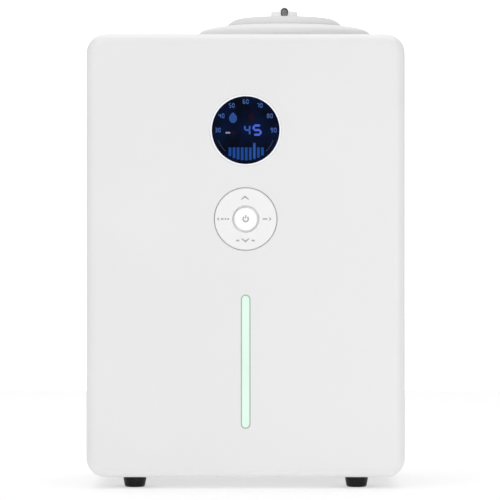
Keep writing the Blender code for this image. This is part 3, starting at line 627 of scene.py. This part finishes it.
def case_shells():
    """Front cover with its openings, posts and pivot ears, and the rest of the case."""
    cover = case_form("cover_shell", 0.0, case_white())
    level_slot = face_plate("level_slot", [pill_outline(7.1, 100.7)], FRONT_Y - 5, 12, None, (0, LEVEL.z))
    inwards = (0, 1, 0)
    before_display, before_pad = (0, FRONT_Y - 5, DISPLAY.z), (0, FRONT_Y - 5, PAD.z)
    carve(cover, cuts=[slab("cover_trim", SEAM_Y, 200), case_form("cover_hollow", WALL),
                       rod("window_hole", before_display, inwards, 12, WINDOW_HOLE_R, sides=128),
                       rod("bezel_recess", before_display, inwards, 6.2, BEZEL_R + TOUCH, sides=160),
                       rod("pad_hole", before_pad, inwards, 12, PAD_HOLE_R, sides=128), level_slot])
    soften(cover, lambda spot: abs(spot.y - FRONT_Y) < NEAR_FACE, 0.75)
    soften(cover, lambda spot: abs(spot.y - SEAM_Y) < NEAR_FACE, 0.35, segments=2)
    fit(polish(cover), "housing", "white_case", "front_cover")
    inner_face = FRONT_Y + WALL - TOUCH
    board_posts = [rod(f"cover_post_{side}_{height}", (side * 24.0, inner_face, height), inwards, 5.6, 3.0,
                       case_white(), sides=32)
                   for side in (-1, 1) for height in (182, 297)]
    ears = [soften(block(f"pivot_ear_{side}", (side * 26 - 1.4, inner_face, PAD.z - 2.2),
                         (side * 26 + 1.4, -80.9, PAD.z + 2.2), case_white()), lambda spot: True, 0.3)
            for side in (-1, 1)]
    for item in board_posts + ears:
        fit(polish(item), "housing", "white_case")
    locating_lip()
    rear_shell()


def locating_lip():
    """Thin tongue of the front cover inside the seam."""
    lip = case_form("cover_lip", WALL + 0.3, case_white())
    carve(lip, cuts=[slab("lip_front", -200, SEAM_Y - 1.8), slab("lip_rear", SEAM_Y + 3.6, 200),
                     case_form("lip_bore", WALL + 1.8)])
    fit(polish(lip), "housing", "white_case")


def rear_shell():
    """Sides, back and top frame in one piece, with the deck's ledges and the screw bosses."""
    shell = case_form("rear_shell", 0.0, case_white())
    lid_low, lid_high = millimetres("top_lid")
    plate_low, plate_high = millimetres("base_plate")
    grille_low, grille_high = millimetres("rear_grille")
    inlet = middle("power_inlet")
    seam = HOUSING_LOW.y
    carve(shell, cuts=[
        slab("shell_trim", -200, seam), case_form("shell_hollow", WALL),
        block("top_opening", (lid_low.x - 0.4, lid_low.y - 0.4, 330),
              (lid_high.x + 0.4, lid_high.y + 0.4, 360), round_axis="z", radius=13, segments=12),
        block("base_opening", (plate_low.x - 0.3, plate_low.y - 0.3, 0),
              (plate_high.x + 0.3, plate_high.y + 0.3, 12.6), round_axis="z", radius=10, segments=10),
        block("grille_opening", (grille_low.x - 0.3, 80, grille_low.z - 0.3),
              (grille_high.x + 0.3, 90, grille_high.z + 0.3), round_axis="y", radius=1.2, segments=4),
        rod("inlet_hole", (inlet.x, 78, inlet.z), (0, 1, 0), 12, 5.6)])
    soften(shell, lambda spot: spot.z > CASE_TOP - NEAR_FACE and abs(spot.x) < 110, 0.5)
    soften(shell, lambda spot: abs(spot.y - REAR_Y) < NEAR_FACE, 0.4)
    soften(shell, lambda spot: abs(spot.y - seam) < NEAR_FACE, 0.35, segments=2)
    fit(polish(shell), "housing", "white_case", "rear_housing")
    for side in (-1, 1):
        low, high = sorted((side * 111.0, side * 117.8))
        ledge = block(f"deck_ledge_{side}", (low, -50, 73.5), (high, 60, 77.7), case_white())
        fit(polish(soften(ledge, lambda spot: True, 0.6)), "housing", "white_case")
        for row, y in enumerate(BOSS_ROWS):
            boss = turned(f"screw_boss_{side}_{row}",
                          rounded([(1.75, 29, 0.4), (4.5, 29, 0.6), (4.5, 12.8, 0), (1.75, 12.8, 0)]),
                          (side * BOSS_X, y, 0), case_white(), steps=40)
            low, high = sorted((side * 101.0, side * 117.8))
            rib = block(f"boss_rib_{side}_{row}", (low, y - 1.2, 22), (high, y + 1.2, 28.6), case_white())
            fit(polish(boss), "housing", "white_case")
            fit(polish(soften(rib, lambda spot: True, 0.3)), "housing", "white_case")


def underside():
    """Base plate with foot bores, counterbored screw holes and posts for the driver board."""
    low, high = millimetres("base_plate")
    top = low.z + 3.0
    plate = block("base_panel", low, (high.x, high.y, top), case_white(), round_axis="z", radius=10,
                  segments=10)
    cuts = []
    for side in (-1, 1):
        for row, y in enumerate(BOSS_ROWS):
            cuts.append(rod(f"plate_bore_{side}_{row}", (side * BOSS_X, y, 5), (0, 0, 1), 12, 1.9, sides=32))
            cuts.append(rod(f"plate_sink_{side}_{row}", (side * BOSS_X, y, 5), (0, 0, 1), 6.3, 3.4, sides=48))
        for row, y in enumerate(FOOT_ROWS):
            cuts.append(rod(f"foot_bore_{side}_{row}", (side * FOOT_X, y, 5), (0, 0, 1), 12, 3.4, sides=48))
    carve(plate, cuts=cuts)
    soften(plate, lambda spot: spot.z < low.z + NEAR_FACE, 0.4)
    fit(polish(plate), "housing", "white_case", "base_plate")
    board_low, board_high = millimetres("driver_board")
    for x in (board_low.x + 5, board_high.x - 5):
        for y in (board_low.y + 5, board_high.y - 5):
            profile = rounded([(0, 22.6, 0), (1.2, 22.6, 0.4), (1.2, 19.7, 0), (3.0, 19.7, 0.4),
                               (3.0, top - TOUCH, 0), (0, top - TOUCH, 0)])
            post = turned(f"board_post_{x:.0f}_{y:.0f}", profile, (x, y, 0), case_white(), steps=32)
            fit(polish(post), "housing", "white_case")


def feet():
    """Tapered rubber feet with a shallow hollow underneath."""
    profile = [(0, 12.2, 0), (3.0, 12.2, 0.4), (3.0, 9.2, 0.3), (8.7, 9.2, 0.3), (8.7, 7.8, 0.5),
               (7.7, DATUM + 0.9, 1.2), (6.6, DATUM, 0.5), (3.5, DATUM, 0.4), (3.0, DATUM + 0.6, 0.4),
               (0, DATUM + 0.6, 0)]
    for end in ("front", "rear"):
        for side in ("left", "right"):
            spot = middle(f"foot_{end}_{side}")
            foot = turned(f"pad_{end}_{side}", rounded(profile), (spot.x, spot.y, 0), rubber_black(),
                          steps=64)
            fit(polish(foot, 50), "housing", "black_rubber", f"foot_{end}_{side}")


def screws():
    """Pan-head screws with a cross recess, in the base."""
    profile = rounded([(0, 22.0, 0), (1.1, 22.0, 0.3), (1.4, 21.0, 0.2), (1.4, 11.0, 0.2), (3.0, 11.0, 0.2),
                       (3.0, 10.0, 0.4), (1.8, 9.7, 0.4), (0, 9.7, 0)])
    for number in range(1, 5):
        spot = middle(f"base_screw_{number}")
        screw = turned(f"screw_{number}", profile, (spot.x, spot.y, 0), steel(), steps=48)
        recess = [block(f"slot_{half_x}_{number}", (spot.x - half_x, spot.y - half_y, 9),
                        (spot.x + half_x, spot.y + half_y, 10.4))
                  for half_x, half_y in ((1.6, 0.3), (0.3, 1.6))]
        carve(screw, cuts=recess)
        fit(polish(screw), "housing", "steel", f"base_screw_{number}")


# ---------------------------------------------------------------- display

SEGMENTS = {"0": "abcdef", "1": "bc", "2": "abged", "3": "abgcd", "4": "fgbc", "5": "afgcd", "6": "afgedc",
            "7": "abc", "8": "abcdefg", "9": "abcdfg"}
SEGMENT_GAP = 0.06              # between the ends of neighbouring segments


def digit(character, centre, width, height, stroke):
    """Outlines of a seven-segment digit about its centre, as lists of (x, z)."""
    w, h, s = width / 2, height / 2, stroke / 2
    spans = {"a": ((-w, h), (w, h)), "g": ((-w, 0), (w, 0)), "d": ((-w, -h), (w, -h)),
             "f": ((-w, 0), (-w, h)), "e": ((-w, -h), (-w, 0)), "b": ((w, 0), (w, h)), "c": ((w, -h), (w, 0))}
    outlines = []
    for letter in SEGMENTS[character]:
        (x0, z0), (x1, z1) = spans[letter]
        if z0 == z1:
            near, far = x0 + SEGMENT_GAP, x1 - SEGMENT_GAP
            shape = [(near, z0), (near + s, z0 + s), (far - s, z0 + s), (far, z0), (far - s, z0 - s),
                     (near + s, z0 - s)]
        else:
            foot, head = z0 + SEGMENT_GAP, z1 - SEGMENT_GAP
            shape = [(x0, foot), (x0 - s, foot + s), (x0 - s, head - s), (x0, head), (x0 + s, head - s),
                     (x0 + s, foot + s)]
        outlines.append([(x + centre[0], z + centre[1]) for x, z in shape])
    return outlines


def arc_band(radius, width, start, end, steps=24):
    """Outline of a thin arc, angles in degrees from +x towards +z."""
    outer, inner = [], []
    for step in range(steps + 1):
        angle = math.radians(start + (end - start) * step / steps)
        outer.append(((radius + width / 2) * math.cos(angle), (radius + width / 2) * math.sin(angle)))
        inner.append(((radius - width / 2) * math.cos(angle), (radius - width / 2) * math.sin(angle)))
    return outer + inner[::-1]


def rectangle(x0, z0, x1, z1):
    """Outline of an upright rectangle."""
    return [(x0, z0), (x1, z0), (x1, z1), (x0, z1)]


DROP_STEPS = 28


def drop_outline(centre, width, height):
    """Outline of a water drop: a round foot drawn up to a point."""
    outline = []
    for step in range(DROP_STEPS):
        angle = 2 * math.pi * step / DROP_STEPS
        pull = max(0.0, math.cos(angle)) ** 2.2
        outline.append((centre[0] + width / 2 * math.sin(angle) * (1 - 0.55 * pull),
                        centre[1] + height / 2 * math.cos(angle) - (1 - pull) * height * 0.06))
    return outline


def display():
    """Dark window with its pale bezel, whose faint glow is painted light, and the generic lit marks on it."""
    glass_y = FRONT_Y + 0.10
    back = millimetres("display_lens")[1].y
    glass = turned("display_window",
                   rounded([(0, -glass_y, 0), (WINDOW_R, -glass_y, 0.5), (WINDOW_R, -back, 0.2),
                            (0, -back, 0)]),
                   (0, 0, DISPLAY.z), display_glass(), steps=128)
    face_front(glass, DISPLAY.z)
    fit(polish(glass), "housing", "dark_lens", "display_lens")
    rim = rounded([(25.45, -FRONT_Y - 0.25, 0.2), (26.0, -FRONT_Y - 0.03, 0.2),
                   (BEZEL_R, -FRONT_Y - 0.12, 0.3), (BEZEL_R, 83.9, 0.1), (25.45, 83.9, 0.1)])
    # The bezel's faint bluish emission is painted light.
    bezel = turned("display_bezel", rim, (0, 0, DISPLAY.z), bezel_white_painted_glow(), steps=160)
    face_front(bezel, DISPLAY.z)
    fit(polish(bezel), "housing", "white_case")
    show("display_scale", scale_marks(), lit("lit_scale", (0.05, 0.11, 0.33)))
    show("display_scale_arc", [arc_band(22.0, 0.6, 200, 226), arc_band(22.0, 0.6, 314, 340)],
         lit("lit_grey", (0.025, 0.03, 0.05)))
    show("display_drop", [drop_outline((-9.5, 9.5), 6.0, 7.5)], lit("lit_drop", (0.022, 0.062, 0.24)))
    show("display_tens", digit("4", (1.2, 0), 3.6, 7.0, 1.35), lit("lit_tens", (0.033, 0.083, 0.36)))
    show("display_units", digit("5", (8.6, 0), 5.2, 6.9, 1.7), lit("lit_units", (0.062, 0.11, 0.55)))
    show("display_dash", [rectangle(-15.1, -2.6, -11.7, -1.4)], lit("lit_white", (0.24, 0.25, 0.30)))
    show("display_standby", [drop_outline((4.2, 10.0), 4.2, 5.4), rectangle(-10.6, -3.0, -7.4, -1.0)],
         lit("lit_plum", (0.013, 0.0022, 0.006)))
    show("display_bars", mist_bars(), lit("lit_bars", (0.010, 0.050, 0.23)))
    show("display_bar_tips", bar_tips(), lit("lit_tips", (0.045, 0.11, 0.34)))


def show(name, outlines, finish):
    """Lit shapes just in front of the display's glass."""
    marks = face_plate(name, outlines, FRONT_Y + 0.04, MARK_DEPTH, finish, (0, DISPLAY.z))
    fit(marks, "housing", "dark_lens")


def scale_marks():
    """Numbers 30 to 90 round the upper rim, left to right."""
    outlines = []
    for number in range(7):
        angle = math.radians(180 - 30 * number)
        centre = (21.0 * math.cos(angle), 21.4 * math.sin(angle))
        tens = str(3 + number)
        for character, offset in ((tens, -1.25), ("0", 1.25)):
            outlines += digit(character, (centre[0] + offset, centre[1]), 1.4, 3.0, 0.62)
    return outlines


BAR_PITCH = 3.05
BAR_COUNT = 9
TALL_BAR = 6
TIPPED_BARS = (1, 5, 6)
BAR_RIM_R = 23.2                # arc that the bars stand on


def bar_spots():
    """Middle, lower end and upper end of each bar; the row follows the window's lower rim."""
    spots = []
    for number in range(BAR_COUNT):
        x = 0.4 + BAR_PITCH * (number - BAR_COUNT // 2)
        bottom = -math.sqrt(BAR_RIM_R ** 2 - x * x)
        top = -9.6 if number == TALL_BAR else -13.0
        spots.append((x, bottom, top))
    return spots


def mist_bars():
    """Level bars along the lower rim."""
    return [rectangle(x - 1.05, bottom + 0.4, x + 1.05, top) for x, bottom, top in bar_spots()]


def bar_tips():
    """Brighter cores of a few bars."""
    return [rectangle(x - 0.45, bottom + 1.2, x + 0.45, top - 0.7)
            for number, (x, bottom, top) in enumerate(bar_spots()) if number in TIPPED_BARS]


# ---------------------------------------------------------------- pad and level window

def control_pad():
    """Rocking ring and centre button, a grey ring in the gap round the rocking ring whose grey is painted
    shade, and generic marks.
    """
    front, back = FRONT_Y + 0.06, millimetres("control_ring")[1].y - 0.8
    # Grey ring just behind the gap round the rocking ring; its grey is painted shade for the gap line.
    gap_shade_profile = rounded([(23.62, 84.5, 0.1), (PAD_HOLE_R, 84.85, 0.1), (PAD_HOLE_R, 82.6, 0.1),
                      (23.62, 82.6, 0.1)])
    surround = turned("pad_gap_shade_ring", gap_shade_profile, (0, 0, PAD.z), pad_gap_painted_shade(), steps=160)
    face_front(surround, PAD.z)
    fit(polish(surround), "housing", "white_case")
    section = rounded([(KEY_HOLE_R, -front, 0.6), (RING_R, -front, 1.6), (RING_R, -back, 0.3),
                       (KEY_HOLE_R, -back, 0.3)])
    ring = turned("rocker_ring", section, (0, 0, PAD.z), key_white(), steps=160)
    face_front(ring, PAD.z)
    fit(polish(ring), "ring_key", "white_key", "control_ring")
    for number in range(4):
        angle = number * math.pi / 2
        x, z = KEY_PITCH * math.cos(angle), KEY_PITCH * math.sin(angle)
        pusher = rod(f"rocker_pusher_{number}", (x, back - TOUCH, PAD.z + z), (0, 1, 0), 0.85, 1.5,
                     key_white(), sides=32)
        fit(polish(pusher), "ring_key", "white_key")
    button = turned("centre_button",
                    rounded([(0, -front, 0), (8.6, -front, 1.0), (8.7, 81.6, 0), (11.5, 81.5, 0.2),
                             (11.5, 80.9, 0.2), (0, 80.9, 0)]), (0, 0, PAD.z), button_white_painted_glow(), steps=128)
    face_front(button, PAD.z)
    fit(polish(button), "power_key", "white_key", "power_button")
    print_on("power_mark", [arc_band(1.95, 1.1, 128, 412, 40), rectangle(-0.5, 0.4, 0.5, 2.9)], "power_key",
             print_grey())
    print_on("pad_mark_up", [chevron((-0.5, 16.2), 6.8, 3.1, 1.25)], "ring_key", print_grey())
    print_on("pad_mark_down", [chevron((-0.2, -16.2), 6.8, -3.1, 1.25), rectangle(-7.2, -16.8, -4.8, -15.6),
                               rectangle(4.4, -16.8, 6.8, -15.6)], "ring_key", print_grey())
    print_on("pad_mark_left", [side_chevron((-20.9, 0), -1.7, 2.8, 0.95), rectangle(-18.7, -0.6, -16.6, 0.6),
                               rectangle(-15.9, -0.6, -14.5, 0.6), rectangle(-13.8, -0.6, -12.4, 0.6)],
             "ring_key", print_grey())
    print_on("pad_mark_right", [side_chevron((18.6, 0), 1.8, 3.0, 1.0), rectangle(12.8, -0.6, 16.3, 0.6)],
             "ring_key", print_grey())


def face_front(item, height):
    """Lay a turned shape on its side so its axis points to the front, about its own height."""
    item.data.transform(Matrix.Translation((0, 0, height * MM)) @ Matrix.Rotation(math.radians(90), 4, 'X')
                        @ Matrix.Translation((0, 0, -height * MM)))


def chevron(centre, width, height, stroke):
    """Open arrow head pointing up, or down with a negative height."""
    x, z = centre
    w, h = width / 2, height / 2
    thick = stroke * (1 if height > 0 else -1)
    return [(x - w, z - h), (x, z + h), (x + w, z - h), (x + w - stroke, z - h), (x, z + h - thick * 1.35),
            (x - w + stroke, z - h)]


def side_chevron(centre, width, height, stroke):
    """Open arrow head pointing right, or left with a negative width."""
    x, z = centre
    w, h = width / 2, height / 2
    thick = stroke * (1 if width > 0 else -1)
    return [(x - w, z - h), (x + w, z), (x - w, z + h), (x - w, z + h - stroke), (x + w - thick * 1.2, z),
            (x - w, z - h + stroke)]


def print_on(name, outlines, body, finish):
    """Printed mark on the face of a key."""
    fit(face_plate(name, outlines, FRONT_Y + 0.02, MARK_DEPTH, finish, (0, PAD.z)), body, "white_key")


def level_window():
    """Glowing light pipe with its flange, in a thin pale-green ring whose tone is painted shade of the gap
    round the pipe.
    """
    lens = face_plate("level_pipe", [pill_outline(5.9, 99.4, 24)], FRONT_Y + 0.15, 2.9, window_glow(),
                      (0, LEVEL.z))
    soften(lens, lambda spot: spot.y < FRONT_Y + 0.2, 0.6)
    fit(polish(lens), "housing", "level_glow", "level_lens")
    # Thin pale-green ring in the gap round the pipe; its tone is painted shade.
    rim = face_plate("level_gap_shade_ring", [pill_outline(7.08, 100.6, 24)], FRONT_Y + 0.4, 2.3, level_gap_painted_shade(),
                     (0, LEVEL.z))
    carve(rim, cuts=[face_plate("level_gap_shade_bore", [pill_outline(5.96, 99.5, 24)], FRONT_Y - 2, 8, None,
                                (0, LEVEL.z))])
    fit(polish(rim), "housing", "level_glow")
    flange = face_plate("level_flange", [pill_outline(10.4, 104.0, 24)], FRONT_Y + 2.85, 1.0, window_glow(),
                        (0, LEVEL.z))
    fit(polish(flange), "housing", "level_glow")


# ---------------------------------------------------------------- lid, cap and nozzle

def top_lid():
    """Inset lid plate with its skirt and the raised ring round the mist cap."""
    low, high = millimetres("top_lid")
    bottom = CASE_TOP - 2.5
    lid = block("lid_plate", (low.x, low.y, bottom), (high.x, high.y, CASE_TOP - 0.05),
                lid_white(), round_axis="z", radius=12.6, segments=12)
    carve(lid, cuts=[rod("ring_bore", (MIST.x, MIST.y, 330), (0, 0, 1), 30, 66.0, sides=160)])
    soften(lid, lambda spot: spot.z > CASE_TOP - 0.1, 0.4)
    fit(polish(lid), "lid", "white_case", "top_lid")
    skirt_x, skirt_front, skirt_rear = 98.7, -56.7, 71.7
    skirt = block("lid_skirt", (-skirt_x, skirt_front, 330), (skirt_x, skirt_rear, bottom + TOUCH),
                  lid_white(), round_axis="z", radius=9, segments=8)
    carve(skirt, cuts=[block("skirt_inside", (-skirt_x + 2, skirt_front + 2, 320),
                             (skirt_x - 2, skirt_rear - 2, 360), round_axis="z", radius=7, segments=8)])
    soften(skirt, lambda spot: spot.z < 330.1, 0.5)
    fit(polish(skirt), "lid", "white_case")
    profile = [(46.0, 354.2, 0.5), (52.5, 353.8, 4.0), (58.5, 352.9, 6.0), (63.2, 351.6, 3.0),
               (66.2, 349.9, 2.0), (67.2, 347.2, 2.0), (67.2, bottom, 0.3), (65.0, bottom, 0.3),
               (65.0, 347.8, 1.2), (48.5, 351.4, 1.0), (48.5, 344.5, 0.5), (40.0, 344.5, 0.6),
               (40.0, 347.0, 0.6), (46.0, 347.0, 0.4)]
    ring = turned("raised_ring", rounded(profile), (MIST.x, MIST.y, 0), lid_white(), steps=160)
    fit(polish(ring), "lid", "white_case")


def mist_cap():
    """Low dome over the chimney, with the drip guide that hangs from it."""
    at = (MIST.x, MIST.y, 0)
    shell = rounded([(8, 361.3, 0.5), (25, 361.3, 3.0), (33, 361.0, 3.0), (38.6, 360.0, 3.0),
                     (42.2, 357.8, 2.5), (44.8, 355.2, 2.0), (45.5, 352.8, 1.0), (45.5, 348.3, 0.3),
                     (43.2, 348.3, 0.3), (43.2, 352.9, 1.0), (41.8, 355.0, 1.5), (38.5, 357.4, 1.5),
                     (25, 358.8, 1.5), (8, 358.8, 0.4)])
    cap = turned("cap_dome", shell, at, cap_white_painted_shade(), steps=160)
    fit(polish(cap), "cap", "white_case", "mist_cap")
    guide = rounded([(9.2, 357.4, 0.3), (11, 357.4, 0.4), (22.3, 352.2, 0.6), (38, 352.2, 0.5),
                     (38, 350.6, 0.5), (22.3, 350.6, 0.4), (22.3, 338, 0.6), (20.3, 338, 0.6),
                     (20.3, 350.8, 0.6), (9.2, 356.0, 0.4)])
    baffle = turned("drip_guide", guide, at, inner_grey(), steps=96)
    fit(polish(baffle), "cap", "inner_plastic", "cap_baffle")


def nozzle():
    """Turning outlet: a small turret with a hooded mouth and its dark lip."""
    low = millimetres("nozzle")[0]
    mouth = middle("nozzle_liner")
    turret = turned("outlet_turret", rounded([(0, 366.6, 0), (10.2, 366.6, 1.2), (10.6, 361.6, 0.3),
                                              (7.6, 361.6, 0.3), (7.6, 357.8, 0.5), (0, 357.8, 0)]),
                    (MIST.x, MIST.y, 0), nozzle_white_painted_glow(), steps=96)
    hood = face_plate("hood_form", [pill_outline(7.3, 8.8, 20)], low.y, 13.0, None, (mouth.x, mouth.z))
    soften(hood, lambda spot: True, 0.7)
    hood_trim = block("hood_trim", (0, -30, 340), (60, 60, 361.6))
    bore = rod("mist_bore", (MIST.x, MIST.y, 350), (0, 0, 1), 15.0, 5.6)
    pocket = face_plate("mouth_pocket", [pill_outline(5.7, 7.0, 20)], low.y - 2, 10.0, None,
                        (mouth.x, mouth.z))
    carve(hood, cuts=[hood_trim])
    carve(turret, joins=[hood], cuts=[bore, pocket])
    fit(polish(turret, 40), "nozzle_head", "white_key", "nozzle")
    liner = face_plate("mouth_lip", [pill_outline(5.2, 6.5, 20)], low.y + TOUCH, 6.0, rubber_black(),
                       (mouth.x, mouth.z))
    mouth_bore = face_plate("mouth_bore", [pill_outline(4.4, 5.7, 20)], low.y - 3.0, 16.0, None,
                            (mouth.x, mouth.z))
    carve(liner, cuts=[mouth_bore])
    fit(polish(liner), "nozzle_head", "black_rubber", "nozzle_liner")


# ---------------------------------------------------------------- rear

LOUVRES = 6
LOUVRE_PITCH = 6.0


def rear_face():
    """Louvred intake grille."""
    low, high = millimetres("rear_grille")
    grille = block("intake_grille", low, high, case_white(), round_axis="y", radius=1.0, segments=4)
    slots = []
    for number in range(LOUVRES):
        z = low.z + 5.0 + LOUVRE_PITCH * number
        slots.append(block(f"louvre_{number}", (low.x + 4, 78, z - 1.5), (high.x - 4, 90, z + 1.5),
                           round_axis="y", radius=1.3, segments=5))
    carve(grille, cuts=slots)
    soften(grille, lambda spot: spot.y > high.y - NEAR_FACE, 0.35)
    fit(polish(grille), "filter_door", "white_case", "rear_grille")


# ---------------------------------------------------------------- tank

TANK_WALL = 2.2
TANK_CORNER_R = 12
HANDLE_HEIGHT = 318
HANDLE_Y = 50


def tank():
    """Clear tank with its valve neck, the chimney through it, and the grip bar across its mouth."""
    low, high = millimetres("water_tank")
    valve = middle("valve_cap")
    bottom, top = 84.0, high.z
    up = (0, 0, 1)
    shell = block("tank_wall", (low.x, low.y, bottom), (high.x, high.y, top), tank_clear(),
                  round_axis="z", radius=TANK_CORNER_R, segments=12)
    neck = rod("valve_neck", (valve.x, valve.y, 76), up, 9, 19.3, sides=96)
    inside = block("tank_inside", (low.x + TANK_WALL, low.y + TANK_WALL, bottom + 3),
                   (high.x - TANK_WALL, high.y - TANK_WALL, 400), round_axis="z",
                   radius=TANK_CORNER_R - TANK_WALL, segments=12)
    carve(shell, joins=[neck], cuts=[inside, rod("neck_bore", (valve.x, valve.y, 70), up, 30, 17.0, sides=96),
                                     rod("tube_hole", (MIST.x, MIST.y, 70), up, 30, 20.0, sides=96)])
    soften(shell, lambda spot: spot.z > top - 0.1, 0.6)

    def on_foot_edge(spot):
        return abs(spot.z - bottom) < 0.1 and (abs(spot.x) > 89 or spot.y < -47 or spot.y > 62)

    soften(shell, on_foot_edge, 0.9)
    fit(polish(shell), "tank", "clear_tank", "water_tank")
    wall = rounded([(17.7, 346, 0.5), (19.5, 346, 0.5), (19.5, 89.3, 0.6), (24, 89.3, 0.5), (24, 87.3, 0.5),
                    (19.5, 87.3, 0.4), (19.5, 82.5, 0.5), (17.7, 82.5, 0.5)])
    tube = turned("chimney", wall, (MIST.x, MIST.y, 0), tank_clear(), steps=96)
    fit(polish(tube), "tank", "clear_tank", "mist_tube")
    handle_low, handle_high = millimetres("tank_handle")
    left, right = handle_low.x + 2.4, handle_high.x - 2.4
    bar = rounded([(0, right, 0), (5.0, right, 0), (5.0, 60, 1.0), (4.5, 58.5, 1.0), (4.5, -58.5, 1.0),
                   (5.0, -60, 1.0), (5.0, left, 0), (0, left, 0)])
    grip = turned("grip_bar", bar, (0, HANDLE_Y, HANDLE_HEIGHT), inner_grey(), axis=(1, 0, 0), steps=64)
    fit(polish(grip), "tank", "inner_plastic", "tank_handle")
    for side in (-1, 1):
        near, far = sorted((side * handle_high.x, side * (handle_high.x - 3)))
        pad = block(f"grip_pad_{side}", (near, HANDLE_Y - 9, HANDLE_HEIGHT - 10),
                    (far, HANDLE_Y + 9, HANDLE_HEIGHT + 10), inner_grey(), round_axis="x", radius=4,
                    segments=8)
        fit(polish(soften(pad, lambda spot: True, 0.5)), "tank", "inner_plastic")


# ---------------------------------------------------------------- inner pieces kept from the CAD

# finish, width of the softened edges in millimetres, and the CAD nodes that get them
DRESSED = [
    (rubber_black, 0.15, ("display_gasket", "transducer_seal", "air_duct")),
    (rubber_grey, 0.2, ("lid_seal", "cap_seal", "valve_seal")),
    (moulding_black, 0.25, ("lcd_module", "key_switch_up", "key_switch_down", "key_switch_left",
                            "key_switch_right", "key_switch_power", "ring_carrier", "power_inlet",
                            "fan_housing")),
    (board_green, 0.15, ("control_board", "level_light_board", "driver_board")),
    (inner_grey, 0.5, ("water_basin",)),
    (inner_grey, 0.25, ("float", "float_clip", "valve_plunger", "valve_foot")),
    (key_white, 0.3, ("valve_cap", "fan_impeller")),
    (steel, 0.15, ("transducer_disc", "transducer_clamp", "fan_motor")),
    (steel, 0.0, ("valve_spring",)),
    (aluminium, 0.15, ("driver_heatsink",)),
    (foam, 0.4, ("intake_filter",)),
    (wire_black, 0.0, ("display_cable", "power_lead", "fan_lead", "transducer_lead")),
]


def dress_inner_pieces():
    """Materials, and softened edges, for the CAD nodes that stay as they are."""
    for finish, edge, nodes in DRESSED:
        for node in nodes:
            item = bpy.data.objects[node]
            item.data.materials.clear()
            item.data.materials.append(finish())
            weld = item.modifiers.new("weld", 'WELD')
            weld.merge_threshold = WELD
            if edge:
                bevel = item.modifiers.new("edge", 'BEVEL')
                bevel.width = edge * MM
                bevel.segments = 2
                bevel.limit_method = 'ANGLE'
                bevel.angle_limit = SHARP
            weigh = item.modifiers.new("weigh", 'WEIGHTED_NORMAL')
            weigh.keep_sharp = True


camera()
studio()
case_shells()
underside()
feet()
screws()
display()
control_pad()
level_window()
top_lid()
mist_cap()
nozzle()
rear_face()
tank()
dress_inner_pieces()
